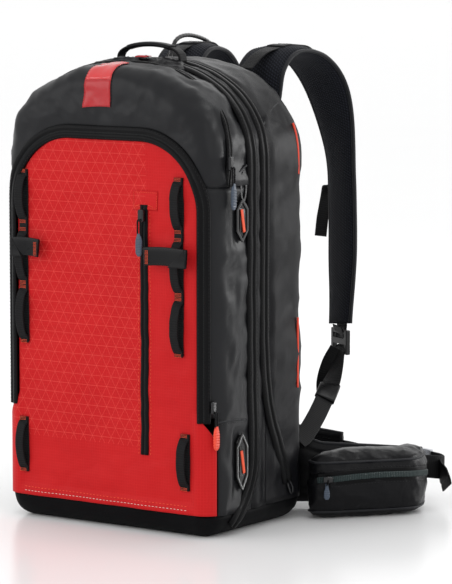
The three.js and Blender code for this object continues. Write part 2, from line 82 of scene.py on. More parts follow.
# ---------- node materials ----------
class Material:
    """A Principled material, with helpers that add its texture nodes."""

    def __init__(self, name, color, roughness, **sockets):
        self.mat = bpy.data.materials.new(name)
        self.mat.use_nodes = True
        self.nodes = self.mat.node_tree.nodes
        self.links = self.mat.node_tree.links
        self.shader = self.nodes["Principled BSDF"]
        self.shader.inputs["Base Color"].default_value = (*color, 1)
        self.shader.inputs["Roughness"].default_value = roughness
        self.shader.inputs["Specular IOR Level"].default_value = 0.2
        for key, value in sockets.items():
            self.shader.inputs[key.replace("_", " ")].default_value = value
        self.color = color
        self.height = None

    def node(self, kind, **settings):
        n = self.nodes.new("ShaderNode" + kind)
        for key, value in settings.items():
            if key.startswith("in_"):
                n.inputs[key[3:].replace("_", " ")].default_value = value
            else:
                setattr(n, key, value)
        return n

    def math(self, operation, a, b=0.0, c=0.0):
        n = self.nodes.new("ShaderNodeMath")
        n.operation = operation
        for socket, value in zip(n.inputs, (a, b, c)):
            if isinstance(value, (int, float)):
                socket.default_value = value
            else:
                self.links.new(value, socket)
        return n.outputs[0]

    def uv(self):
        n = self.node("UVMap", uv_map="Weave")
        split = self.node("SeparateXYZ")
        self.links.new(n.outputs[0], split.inputs[0])
        return split.outputs[0], split.outputs[1]

    def place(self):
        return self.node("TexCoord").outputs["Object"]

    def waves(self, value, period):
        """0 to 1 ridges every period metres along value."""
        turns = self.math("MULTIPLY", value, 2 * math.pi / period)
        return self.math("MULTIPLY_ADD", self.math("SINE", turns), 0.5, 0.5)

    def lines(self, value, period, width):
        """1 on thin lines every period metres along value, else 0."""
        cell = self.math("FRACT", self.math("MULTIPLY", value, 1 / period))
        off = self.math("ABSOLUTE", self.math("SUBTRACT", cell, 0.5))
        return self.math("GREATER_THAN", off, 0.5 - width / period / 2)

    def noise(self, scale, detail=3.0, rough=0.55):
        n = self.node("TexNoise")
        n.inputs["Scale"].default_value = scale
        n.inputs["Detail"].default_value = detail
        n.inputs["Roughness"].default_value = rough
        self.links.new(self.place(), n.inputs["Vector"])
        return n.outputs[0]

    def tint(self, factor, other, amount=1.0, base=None):
        """Mixes the base colour towards other by factor * amount."""
        mix = self.node("Mix", data_type="RGBA")
        scaled = self.math("MULTIPLY", factor, amount)
        self.links.new(scaled, mix.inputs[0])
        if base is None:
            mix.inputs[6].default_value = (*self.color, 1)
        else:
            self.links.new(base, mix.inputs[6])
        mix.inputs[7].default_value = (*other, 1)
        self.links.new(mix.outputs[2], self.shader.inputs["Base Color"])
        return mix.outputs[2]

    def rough_by(self, factor, low, high):
        n = self.node("MapRange")
        self.links.new(factor, n.inputs[0])
        n.inputs[3].default_value = low
        n.inputs[4].default_value = high
        self.links.new(n.outputs[0], self.shader.inputs["Roughness"])

    def bump(self, height, distance, strength=1.0):
        n = self.node("Bump")
        n.inputs["Strength"].default_value = strength
        n.inputs["Distance"].default_value = distance
        self.links.new(height, n.inputs["Height"])
        if self.height is not None:
            self.links.new(self.height, n.inputs["Normal"])
        self.height = n.outputs[0]
        self.links.new(self.height, self.shader.inputs["Normal"])
        return self


def weave(m, period, depth):
    """Plain weave: crossed ridges of warp and weft."""
    u, v = m.uv()
    crossed = m.math("MULTIPLY", m.waves(u, period), m.waves(v, period))
    return m.bump(crossed, depth, 0.5)


def red_ripstop():
    m = Material("red_ripstop", (0.43, 0.006, 0.009), 0.5, Sheen_Weight=0.0)
    m.shader.inputs["Specular IOR Level"].default_value = 0.10
    u, v = m.uv()
    side = 0.0135
    rows = m.lines(v, side * 0.866, 0.0005)
    slope = math.sqrt(3)
    up = m.math("ADD", u, m.math("MULTIPLY", v, 1 / slope))
    down = m.math("SUBTRACT", u, m.math("MULTIPLY", v, 1 / slope))
    grid = m.math("MAXIMUM", rows, m.math("MAXIMUM", m.lines(up, side, 0.0005), m.lines(down, side, 0.0005)))
    left_of_zip = m.math("LESS_THAN", u, (POCKET_ZIP[0] + 2) * MM)
    above_fold = m.math("GREATER_THAN", v, 0.098)
    grid = m.math("MULTIPLY", grid, m.math("MULTIPLY", left_of_zip, above_fold))
    fine = m.math("MAXIMUM", m.lines(u, 0.0034, 0.0005), m.lines(v, 0.0034, 0.0005))
    # Random lighter patches: partly the cloth's uneven tone, partly painted sheen and painted shade for the
    # light across the red fabric.
    tone_and_sheen_patches = m.noise(9.0, 3.0)
    base = m.tint(tone_and_sheen_patches, (0.62, 0.018, 0.018), 0.75)
    base = m.tint(fine, (0.70, 0.03, 0.03), 0.2, base)
    m.tint(grid, (0.90, 0.13, 0.10), 0.38, base)
    weave(m, 0.0009, 0.0001)
    m.bump(m.math("MAXIMUM", grid, m.math("MULTIPLY", fine, 0.4)), 0.00012, 0.6)
    m.bump(m.noise(38.0, 4.0), 0.0012, 0.35)
    return m.mat


def coated_grey():
    m = Material("coated_grey", (0.0105, 0.0108, 0.012), 0.36, Specular_IOR_Level=0.15)
    m.tint(m.noise(14.0, 4.0), (0.016, 0.0163, 0.018), 0.7)
    m.rough_by(m.noise(30.0, 3.0), 0.32, 0.46)
    m.bump(m.noise(1400.0, 2.0), 0.00006, 0.6)
    m.bump(m.noise(22.0, 3.0), 0.0015, 0.3)
    return m.mat


def woven_black(name, color, sheen=0.0, rough=0.5, thread=0.0011, gloss=0.09):
    m = Material(name, color, rough, Sheen_Weight=sheen, Sheen_Roughness=0.45)
    m.shader.inputs["Specular IOR Level"].default_value = gloss
    lighter = tuple(c * 1.8 + 0.002 for c in color)
    base = m.tint(m.noise(26.0, 4.0), lighter, 0.55)
    u, v = m.uv()
    grid = m.math("MAXIMUM", m.lines(u, 0.005, 0.0004), m.lines(v, 0.005, 0.0004))
    m.tint(grid, lighter, 0.5, base)
    weave(m, thread, 0.00012)
    m.bump(m.noise(60.0, 3.0), 0.0005, 0.25)
    return m.mat


def webbing(name="webbing", color=(0.0045, 0.0045, 0.005), rib=0.0016):
    m = Material(name, color, 0.5, Specular_IOR_Level=0.12)
    u, v = m.uv()
    twill = m.waves(m.math("ADD", u, v), rib)
    rows = m.waves(v, rib * 1.7)
    m.tint(m.math("MULTIPLY", twill, rows), tuple(c * 2.4 + 0.002 for c in color), 0.6)
    return m.bump(m.math("MULTIPLY", twill, rows), 0.00035, 0.8).mat


def spacer_mesh():
    m = Material("spacer_mesh", (0.006, 0.0065, 0.009), 0.75, Sheen_Weight=0.02, Specular_IOR_Level=0.1)
    u, v = m.uv()
    slanted = m.math("ADD", v, m.math("MULTIPLY", u, 0.5))
    cells = m.math("MULTIPLY", m.waves(u, 0.0032), m.waves(slanted, 0.0036))
    m.tint(cells, (0.026, 0.030, 0.042), 0.75)
    return m.bump(cells, 0.0009, 0.8).mat


def plain(name, color, rough, grain=900.0, depth=0.00005, **sockets):
    m = Material(name, color, rough, **sockets)
    m.tint(m.noise(45.0, 3.0), tuple(min(1, c * 1.35 + 0.003) for c in color), 0.5)
    m.rough_by(m.noise(70.0, 4.0), max(0.05, rough - 0.07), min(1, rough + 0.1))
    return m.bump(m.noise(grain, 2.0), depth, 0.5).mat


def coil_zip(name, color, pitch=0.0021):
    """Coil teeth across the zip: v runs along the zip."""
    m = Material(name, color, 0.42, Specular_IOR_Level=0.15)
    _, v = m.uv()
    teeth = m.waves(v, pitch)
    m.tint(teeth, tuple(c * 2.2 + 0.003 for c in color), 0.7)
    return m.bump(teeth, 0.0006, 0.9).mat


def binding():
    m = Material("edge_binding", (0.008, 0.0085, 0.010), 0.5)
    _, v = m.uv()
    m.tint(m.waves(v, 0.0012), (0.018, 0.019, 0.023), 0.6)
    return m.bump(m.waves(v, 0.0012), 0.0002, 0.6).mat


def stitch_thread(name, color):
    m = Material(name, color, 0.6)
    m.tint(m.noise(900.0, 2.0), tuple(min(1, c * 1.4) for c in color), 0.6)
    return m.bump(m.noise(2600.0, 2.0), 0.0001, 0.5).mat


MAT = {
    "red": red_ripstop(),
    "grey": coated_grey(),
    "nylon": woven_black("black_nylon", (0.0036, 0.0036, 0.0045), 0.0, 0.38),
    "hip": woven_black("hip_nylon", (0.0032, 0.0032, 0.0039), 0.0, 0.32, 0.0011, 0.12),
    "boot": woven_black("boot_nylon", (0.0022, 0.0022, 0.0026), 0.0, 0.6, 0.0016, 0.05),
    "lining": woven_black("lining", (0.10, 0.10, 0.105), 0.2, 0.6),
    "web": webbing(),
    "mesh": spacer_mesh(),
    "binding": binding(),
    "lip": plain("zip_lip", (0.003, 0.003, 0.0034), 0.38, Specular_IOR_Level=0.08),
    "coil": coil_zip("zip_coil", (0.006, 0.0065, 0.007), 0.0021),
    "hip_coil": coil_zip("hip_zip_coil", (0.016, 0.024, 0.024), 0.0021),
    "rubber": plain("tab_rubber", (0.004, 0.004, 0.0045), 0.28, Specular_IOR_Level=0.14),
    "plastic": plain("black_plastic", (0.006, 0.006, 0.0065), 0.28, Specular_IOR_Level=0.35),
    "slate": plain("puller_slate", (0.052, 0.068, 0.095), 0.36, Specular_IOR_Level=0.3),
    "orange": plain("puller_orange", (0.72, 0.060, 0.028), 0.4, Specular_IOR_Level=0.3),
    "thread": stitch_thread("orange_thread", (0.72, 0.09, 0.04)),
    "pale_thread": stitch_thread("pale_thread", (0.62, 0.60, 0.56)),
    "dark_thread": stitch_thread("dark_thread", (0.014, 0.014, 0.015)),
    "steel": plain("steel", (0.50, 0.51, 0.53), 0.28, Metallic=1.0),
    "aluminium": plain("aluminium", (0.42, 0.43, 0.45), 0.38, Metallic=1.0),
    "dark_metal": plain("dark_metal", (0.008, 0.008, 0.009), 0.18, Specular_IOR_Level=0.4),
    "gloss": plain("moulded_gloss", (0.004, 0.004, 0.0045), 0.14, Specular_IOR_Level=0.7),
    "airbag": woven_black("airbag_cloth", (0.62, 0.17, 0.03), 0.3, 0.5),
    "stripe": plain("stripe_red", (0.36, 0.008, 0.012), 0.34, Specular_IOR_Level=0.4),
    # A glossier copy of the stripe red for the stripe's top. The low roughness is its gloss; the lighter
    # colour is a painted highlight.
    "stripe_gloss_painted_highlight": plain("stripe_red_gloss_painted_highlight", (0.52, 0.02, 0.022), 0.16, Specular_IOR_Level=0.6),
}


# ---------- mesh helpers ----------
def grid_object(name, points, material, closed=False, uv=None, flip=False):
    """A sheet from an array of points (rows, columns, 3) in mm.

    Its Weave map runs in metres along the rows (v) and the columns (u)."""
    rows, cols = points.shape[:2]
    mesh = bpy.data.meshes.new(name)
    faces = []
    last = cols if closed else cols - 1
    for r in range(rows - 1):
        for c in range(last):
            d = (c + 1) % cols
            quad = (r * cols + c, r * cols + d, (r + 1) * cols + d, (r + 1) * cols + c)
            faces.append(quad[::-1] if flip else quad)
    mesh.from_pydata([tuple(p) for p in points.reshape(-1, 3) * MM], [], faces)
    if uv is None:
        step_u = np.linalg.norm(np.diff(points, axis=1), axis=2).mean(axis=0)
        step_v = np.linalg.norm(np.diff(points, axis=0), axis=2).mean(axis=1)
        u = np.concatenate([[0], np.cumsum(step_u)])
        v = np.concatenate([[0], np.cumsum(step_v)])
        uv = np.stack(np.meshgrid(u, v), axis=-1)
    flat = uv.reshape(-1, 2) * MM
    layer = mesh.uv_layers.new(name="Weave")
    index = np.empty(len(mesh.loops), dtype=np.int32)
    mesh.loops.foreach_get("vertex_index", index)
    layer.data.foreach_set("uv", flat[index].astype(np.float32).ravel())
    return finish_object(name, mesh, material)


def finish_object(name, mesh, material):
    mesh.materials.append(MAT[material])
    mesh.polygons.foreach_set("use_smooth", [True] * len(mesh.polygons))
    mesh.update()
    obj = bpy.data.objects.new(name, mesh)
    bpy.context.scene.collection.objects.link(obj)
    return obj


def apply_modifiers(obj):
    graph = bpy.context.evaluated_depsgraph_get()
    mesh = bpy.data.meshes.new_from_object(obj.evaluated_get(graph))
    obj.modifiers.clear()
    old = obj.data
    obj.data = mesh
    bpy.data.meshes.remove(old)
    return obj


def thicken(obj, thickness, offset=-1.0, subdivide=0):
    s = obj.modifiers.new("thickness", "SOLIDIFY")
    s.thickness = thickness * MM
    s.offset = offset
    if subdivide:
        obj.modifiers.new("smooth", "SUBSURF").levels = subdivide
    return apply_modifiers(obj)


def place(obj, body, node=None, also=()):
    """Puts a finished piece on its body, and hides the CAD nodes it stands for."""
    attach(obj, body)
    for name in ([node] if node else []) + list(also):
        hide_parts(name)
    return obj


def curve_points(points, count):
    """Evenly spaced points on a smooth curve through a few given ones."""
    pts = np.array(points, float)
    padded = np.vstack([2 * pts[0] - pts[1], pts, 2 * pts[-1] - pts[-2]])
    out = []
    for i in range(len(pts) - 1):
        p0, p1, p2, p3 = padded[i : i + 4]
        for t in np.linspace(0, 1, 24, endpoint=False):
            out.append(
                0.5
                * (
                    2 * p1
                    + (p2 - p0) * t
                    + (2 * p0 - 5 * p1 + 4 * p2 - p3) * t**2
                    + (3 * p1 - p0 - 3 * p2 + p3) * t**3
                )
            )
    out.append(pts[-1])
    dense = np.array(out)
    length = np.concatenate([[0], np.cumsum(np.linalg.norm(np.diff(dense, axis=0), axis=1))])
    at = np.linspace(0, length[-1], count)
    return np.stack([np.interp(at, length, dense[:, k]) for k in range(3)], axis=1)


def unit(v):
    return v / np.maximum(np.linalg.norm(v, axis=-1, keepdims=True), 1e-9)


def xyz(x, y, z):
    """Points from their coordinates, each of which is an array or one number for all."""
    return np.stack(np.broadcast_arrays(x, y, z), axis=-1)


def mirrored(points, sx):
    """The points on the right (sx 1) or over on the left (sx -1)."""
    return [(sx * x, y, z) for x, y, z in points]


def sweep(name, path, out, profile, material, capped=True, closed_path=False):
    """Sweeps a closed profile of (across, out) points in mm along a path.

    The outward direction is given for each of the path's points, or once for all of them."""
    along = unit(np.gradient(path, axis=0))
    if closed_path:
        along = unit(np.roll(path, -1, axis=0) - np.roll(path, 1, axis=0))
    out = unit(out - (out * along).sum(-1, keepdims=True) * along)
    across = np.cross(along, out)
    profile = np.asarray(profile, float)
    if profile.ndim == 2:
        profile = np.repeat(profile[None], len(path), axis=0)
    rings = path[:, None] + across[:, None] * profile[..., :1] + out[:, None] * profile[..., 1:]
    if closed_path:
        rings = np.concatenate([rings, rings[:1]])
    obj = grid_object(name, rings, material, closed=True)
    if capped and not closed_path:
        bm = bmesh.new()
        bm.from_mesh(obj.data)
        bm.verts.ensure_lookup_table()
        n = profile.shape[1]
        bm.faces.new([bm.verts[i] for i in range(n)][::-1])
        last = len(bm.verts) - n
        bm.faces.new([bm.verts[last + i] for i in range(n)])
        bmesh.ops.recalc_face_normals(bm, faces=bm.faces)
        bm.to_mesh(obj.data)
        bm.free()
    return obj


def strap_profile(width, thick, edge=None, crown=0.0):
    """Rounded flat section, as (across, out) points."""
    h = thick / 2
    edge = h if edge is None else edge
    pts = []
    for sx, sy, start in ((1, 1, 0), (-1, 1, 90), (-1, -1, 180), (1, -1, 270)):
        for k in range(4):
            a = math.radians(start + k * 30)
            pts.append((sx * (width / 2 - edge) + edge * math.cos(a), sy * (h - edge) + edge * math.sin(a)))
        if sy == 1 and sx == 1 or sy == -1 and sx == -1:
            side = 1 if sy == 1 else -1
            for t in (0.6, 0.2, -0.2, -0.6):
                x = side * t * (width / 2 - edge)
                pts.append((x, side * (h + crown * (1 - t * t))))
    return np.array(pts)


def smoothstep(t, low=0.0, high=1.0):
    t = np.clip((t - low) / (high - low), 0, 1)
    return t * t * (3 - 2 * t)


def ripple(points, size, seed, octaves=3):
    """Smooth noise from -1 to 1 at each point, with features about size mm long."""
    shape = points.shape[:-1]
    flat = points.reshape(-1, 3) / size
    shift = Vector((seed * 3.1, seed * 1.7, seed * 2.3))
    basis = "PERLIN_ORIGINAL"
    values = [noise.fractal(Vector(p) + shift, 0.6, 2.0, octaves, noise_basis=basis) for p in flat]
    return np.clip(np.array(values).reshape(shape) * 1.4, -1, 1)


# ---------- the pack's outer form ----------
def section(inset, y, counts=(10, 8, 56, 110)):
    """One closed ring in the XZ plane, from the middle of the base round to the left and back."""
    bottom_n, corner_n, side_n, arch_n = counts
    w = HALF_WIDTH - inset
    top = BODY_TOP - inset
    q = max(4, BASE_ROUND - inset)
    pts = []
    for i in range(bottom_n):
        pts.append(((w - q) * i / bottom_n, inset))
    for i in range(corner_n):
        a = -math.pi / 2 + (math.pi / 2) * i / corner_n
        pts.append((w - q + q * math.cos(a), inset + q + q * math.sin(a)))
    for i in range(side_n):
        pts.append((w, inset + q + (SPRING - inset - q) * i / side_n))
    right = list(pts)
    arch = []
    for i in range(arch_n + 1):
        a = math.pi * i / arch_n
        c = math.cos(a)
        x = w * math.copysign(abs(c) ** (2 / ARCH_POWER), c)
        z = SPRING + (top - SPRING) * max(0.0, math.sin(a)) ** (2 / ARCH_POWER)
        arch.append((x, z))
    left = [(-x, z) for x, z in right[:0:-1]]
    ring = np.array(right + arch + left)
    return xyz(ring[:, 0], float(y), ring[:, 1])


def draw_in(y):
    """How far the skin draws in at depth y because of its rounded front and back edges."""
    front = FRONT_Y + FRONT_ROUND - y
    back = y - (BACK_Y - BACK_ROUND)
    if front > 0:
        return FRONT_ROUND - math.sqrt(max(0, FRONT_ROUND**2 - front**2))
    if back > 0:
        return BACK_ROUND - math.sqrt(max(0, BACK_ROUND**2 - back**2))
    return 0.0


def inset_at(x, z):
    """The inset of the ring through (x, z), by bisection."""
    x, z = np.abs(x), np.asarray(z, float)
    low, high = np.full(x.shape, -20.0), np.full(x.shape, 130.0)
    for _ in range(40):
        e = (low + high) / 2
        w, top = HALF_WIDTH - e, BODY_TOP - e
        rise = np.maximum(z - SPRING, 0) / (top - SPRING)
        inside = (x / w) ** ARCH_POWER + rise**ARCH_POWER < 1
        low, high = np.where(inside, e, low), np.where(inside, high, e)
    return (low + high) / 2


def front_y(x, z):
    """Depth of the front skin at (x, z)."""
    e = np.clip(inset_at(x, z), 0, FRONT_ROUND)
    return FRONT_Y + FRONT_ROUND - np.sqrt(np.maximum(FRONT_ROUND**2 - (FRONT_ROUND - e) ** 2, 0))


def front_normal(x, z, step=0.5):
    dx = (front_y(x + step, z) - front_y(x - step, z)) / (2 * step)
    dz = (front_y(x, z + step) - front_y(x, z - step)) / (2 * step)
    return unit(xyz(dx, -1.0, dz))


def body_grid():
    """Dense rings over the whole pack: front cap, rounded front edge, sides, rounded back edge, back cap."""
    stations = [(float(e), FRONT_Y) for e in range(97, 26, -3)]
    for i in range(9):
        y = FRONT_Y + FRONT_ROUND * (1 - math.cos(i / 8 * math.pi / 2))
        stations.append((draw_in(y), y))
    for y in np.arange(FRONT_Y + FRONT_ROUND + 3, BACK_Y - BACK_ROUND - 1, 3.2):
        stations.append((0.0, y))
    for i in range(9):
        y = BACK_Y - BACK_ROUND * (1 - math.sin(i / 8 * math.pi / 2))
        stations.append((draw_in(y), y))
    stations += [(e, BACK_Y) for e in (32, 44, 58, 74, 92)]
    return np.array([section(e, y) for e, y in stations])


def grid_normals(points):
    """Outward normals of the body's rings."""
    du = np.roll(points, -1, axis=1) - np.roll(points, 1, axis=1)
    dv = np.gradient(points, axis=0)
    n = unit(np.cross(du, dv))
    centre = np.array([0, (FRONT_Y + BACK_Y) / 2, BODY_TOP / 2])
    if ((points - centre) * n).sum() < 0:
        n = -n
    return n


BODY = body_grid()
NORMALS = grid_normals(BODY)


def body_panel(name, keep, push, material, thickness=1.6):
    """The part of the body's skin where keep(points) is true, pushed out along its normals."""
    points = BODY + NORMALS * push(BODY, NORMALS)[..., None]
    rows, cols = points.shape[:2]
    wanted = keep(BODY)
    mesh = bpy.data.meshes.new(name)
    faces = []
    for r in range(rows - 1):
        for c in range(cols):
            d = (c + 1) % cols
            if wanted[r, c] and wanted[r, d] and wanted[r + 1, c] and wanted[r + 1, d]:
                faces.append(((r, c), (r, d), (r + 1, d), (r + 1, c)))
    order = {}
    for face in faces:
        for key in face:
            order.setdefault(key, len(order))
    verts = [tuple(points[k] * MM) for k in order]
    mesh.from_pydata(verts, [], [tuple(order[k] for k in f) for f in faces])
    arc = np.cumsum(np.linalg.norm(np.diff(BODY, axis=1, prepend=BODY[:, :1]), axis=2), axis=1)
    depth = np.cumsum(np.linalg.norm(np.diff(BODY, axis=0, prepend=BODY[:1]), axis=2), axis=0)
    flat = np.array([(arc[rows // 2, k[1]], depth[k[0], cols // 4]) for k in order]) * MM
    layer = mesh.uv_layers.new(name="Weave")
    loops = np.empty(len(mesh.loops), dtype=np.int32)
    mesh.loops.foreach_get("vertex_index", loops)
    layer.data.foreach_set("uv", flat[loops].astype(np.float32).ravel())
    obj = finish_object(name, mesh, material)
    bm = bmesh.new()
    bm.from_mesh(obj.data)
    bmesh.ops.recalc_face_normals(bm, faces=bm.faces)
    bm.to_mesh(obj.data)
    bm.free()
    middle = obj.data.polygons[len(obj.data.polygons) // 2]
    outward = Vector(middle.center) - Vector((0, (FRONT_Y + BACK_Y) / 2 * MM, BODY_TOP / 2 * MM))
    if middle.normal.dot(outward) < 0:
        obj.data.flip_normals()
    return thicken(obj, thickness, -1.0)


# ---------- soft body panels ----------
def band(value, low, high):
    """0 outside low..high, rising to 1 halfway between."""
    return np.sin(np.pi * np.clip((value - low) / (high - low), 0, 1))


def crease(points, size, seed):
    """Sharp-crested folds, 0 to 1."""
    return 1 - np.abs(ripple(points, size, seed, 2)) ** 0.6


def slant(p, size):
    """The same points seen along a slanted fold line, for drapes that fall backwards and down."""
    along = p[..., 1] * 0.75 + p[..., 2] * 0.66
    over = p[..., 2] * 0.75 - p[..., 1] * 0.66
    return xyz(p[..., 0] * 0.5, along * 0.35, over) / size


def clear_of_band(p):
    """0 beside the front zip's band, which stands proud of the panels, rising to 1 away from it."""
    dx = np.abs(p[..., 0]) - (DOOR_HALF - DOOR_CORNER)
    dz = p[..., 2] - (DOOR_TOP - DOOR_CORNER)
    reach = np.hypot(np.maximum(dx, 0), np.maximum(dz, 0)) - DOOR_CORNER
    return np.maximum(smoothstep(reach, ZIP_BAND - 2, ZIP_BAND + 16), smoothstep(p[..., 1], -104, -88))


def left_bulge(p):
    return 2.6 * (p[..., 0] < 0) * smoothstep(p[..., 1], -110, -86) * smoothstep(480 - p[..., 2], 0, 90)


def clear_of_ports(p):
    """0 over the right side's two moulded ports, so that they lie open, rising to 1 around them."""
    keep = np.ones(p.shape[:-1])
    for low, high in PORTS:
        off = np.abs(p - (low + high) / 2) - (high - low) / 2
        away = smoothstep(np.maximum(off[..., 1], off[..., 2]), 0, 10)
        keep = keep * np.where(p[..., 0] > 0, away, 1)
    return keep


def push_shell(p, n):
    folds = crease(slant(p, 1) * (1, 1.2, 1), 70, 9) * 3.0
    soft = folds + 1.5 * ripple(p, 40, 3) + 0.5 * ripple(p, 14, 4) + 1.6 * band(p[..., 1], -96, GUSSET_Y + 4)
    return 0.1 + left_bulge(p) + soft * clear_of_band(p) * clear_of_ports(p)


def push_hood(p, n):
    soft = 2.4 * ripple(p, 75, 5) + 1.0 * ripple(p, 26, 7) + 1.2 + 1.6 * band(p[..., 1], -86, GUSSET_Y)
    return 0.1 + left_bulge(p) + soft * clear_of_band(p)


def push_gusset(p, n):
    folds = crease(p * (1, 0.5, 1), 34, 11)
    return 0.3 + 2.6 * band(p[..., 1], GUSSET_Y + 8, REAR_Y - 4) + 1.4 * folds


def push_rear(p, n):
    folds = crease(slant(p, 1), 46, 17)
    long_folds = crease(p * (0.5, 0.35, 1), 80, 13)
    fade = np.clip((p[..., 1] - REAR_Y - 2) / 14, 0, 1)
    return 0.2 + fade * (2.6 * folds + 2.3 * long_folds + 0.4 * ripple(p, 22, 19))


def push_boot(p, n):
    return 0.4 + 0.9 * ripple(p, 34, 23) * (np.abs(n[..., 2]) < 0.6)


def inside_door(p, margin):
    """True where the front fabric lies over the skin, less a margin."""
    dx = np.abs(p[..., 0]) - (DOOR_HALF - DOOR_CORNER)
    dz = p[..., 2] - (DOOR_TOP - DOOR_CORNER)
    corner = np.hypot(np.maximum(dx, 0), np.maximum(dz, 0)) < DOOR_CORNER - margin
    return corner & (p[..., 1] < FRONT_Y + FRONT_ROUND)


def build_body():
    x, y, z = 0, 1, 2
    hood = body_panel(
        "hood_shell",
        lambda p: (p[..., z] > 396) & (p[..., y] < GUSSET_Y + 9) & ~inside_door(p, -3),
        push_hood,
        "grey",
    )
    place(hood, "pack", "hood_panel")
    for side, sx in (("right", 1), ("left", -1)):
        panel = body_panel(
            "side_shell_" + side,
            lambda p: (sx * p[..., x] > 100)
            & (p[..., z] < 402)
            & (p[..., z] > 25)
            & (p[..., y] < GUSSET_Y + 9)
            & (p[..., y] > FRONT_Y - 1)
            & ((p[..., z] > DOOR_BOTTOM - 3) | (p[..., y] > FRONT_Y + 12))
            & ~inside_door(p, -3),
            push_shell,
            "grey",
        )
        place(panel, "pack", "side_panel_" + side)
    gusset = body_panel(
        "gusset_shell",
        lambda p: (p[..., y] > GUSSET_Y + 2) & (p[..., y] < REAR_Y + 4) & (p[..., z] > 24),
        push_gusset,
        "nylon",
    )
    place(gusset, "pack", "compression_gusset")
    rear = body_panel(
        "airbag_compartment", lambda p: (p[..., y] > REAR_Y - 2) & (p[..., z] > 24), push_rear, "nylon"
    )
    place(rear, "pack", "airbag_compartment_shell")
    boot = body_panel("base_boot_shell", lambda p: p[..., z] < 30, push_boot, "boot", 2.2)
    place(boot, "pack", "base_boot")
    xs, zs = np.meshgrid(np.linspace(-64, 64, 12), np.linspace(70, 446, 20))
    flat = xyz(xs, BACK_Y - 0.4, zs)
    place(thicken(grid_object("back_sheet", flat, "nylon"), 1.2), "pack")


# ---------- front fabric ----------
def fabric_push(x, z):
    """How far the front fabric stands off the frame's skin."""
    p = xyz(x, 0.0, z)
    folds = ripple(p * (0.6, 1, 1), 55, 29) * 1.3 + ripple(p, 24, 31) * 0.5
    creases = crease(p * (0.35, 1, 1), 46, 37) * 1.0
    edge = np.clip((DOOR_HALF - np.abs(x)) / 20, 0, 1)
    over_side = smoothstep(np.abs(x), 118, 130) * smoothstep(150 - z, 0, 20)
    over_boot = smoothstep(42 - z, 0, 8)
    return -0.9 + (folds + creases) * edge + 3.4 * np.maximum(over_side, 0.7 * over_boot)


LOWER_REACH = 150


def front_fabric():
    rows = np.concatenate([np.arange(27, 392, 2.6), np.linspace(392, DOOR_TOP, 34)])
    cols = np.linspace(-1, 1, 121)
    flat = HALF_WIDTH - FRONT_ROUND
    grid, uv = [], []
    for z in rows:
        wide = smoothstep(DOOR_BOTTOM + 8 - z, 0, 42)
        above = max(0, z - DOOR_TOP + DOOR_CORNER)
        half = DOOR_HALF - DOOR_CORNER + math.sqrt(max(0, DOOR_CORNER**2 - above**2))
        reach = flat + FRONT_ROUND * math.asin((half - flat) / FRONT_ROUND) if half > flat else half
        reach += wide * (LOWER_REACH - reach)
        arc = cols * reach
        turn = np.maximum(np.abs(arc) - flat, 0) / FRONT_ROUND
        x = np.sign(arc) * (np.minimum(np.abs(arc), flat) + FRONT_ROUND * np.sin(turn))
        y = FRONT_Y + FRONT_ROUND * (1 - np.cos(turn))
        zz = np.full_like(x, z)
        n = xyz(np.sign(arc) * np.sin(turn), -np.cos(turn), 0.0)
        p = xyz(x, y, zz) + n * fabric_push(x, zz)[:, None]
        grid.append(p)
        uv.append(np.stack([arc, zz], axis=-1))
    obj = grid_object("front_fabric", np.array(grid), "red", uv=np.array(uv))
    thicken(obj, 1.4, -1)
    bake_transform(obj)
    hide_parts("front_door", "lower_front_panel")
    return obj


def on_front(x, z, lift=0.0):
    """Points on the front fabric, lifted off it."""
    x, z = np.broadcast_arrays(np.asarray(x, float), np.asarray(z, float))
    y = front_y(x, z)
    n = front_normal(x, z)
    return xyz(x, y, z) + n * (fabric_push(x, z) + lift)[..., None], n


# ---------- zips ----------
LIP = [(-7.5, -1), (-7.5, 0.5), (-6.6, 1.7), (-4.0, 2.3), (-1.4, 2.2), (-0.4, 0.7)]
LIPS = LIP + [(-across, out) for across, out in LIP[::-1]]


def scaled(profile, across, out=1.0):
    return [(a * across, o * out) for a, o in profile]


def u_zip_path():
    """The middle of the front zip's band, from low on the right, over the arch, to low on the left."""
    half, corner = DOOR_HALF + ZIP_BAND / 2, DOOR_CORNER + ZIP_BAND / 2
    centre_x, centre_z = half - corner, DOOR_TOP + ZIP_BAND / 2 - corner
    right = [(half, z) for z in np.arange(DOOR_BOTTOM - 8, centre_z, 4)]
    angles = np.linspace(0, math.pi / 2, 34)
    turn = [(centre_x + corner * math.cos(a), centre_z + corner * math.sin(a)) for a in angles]
    top = [(x, centre_z + corner) for x in np.arange(centre_x - 4, 0, -4)]
    one = np.array(right + turn + top)
    both = np.vstack([one, one[::-1] * (-1, 1)])
    return both[:, 0], both[:, 1]


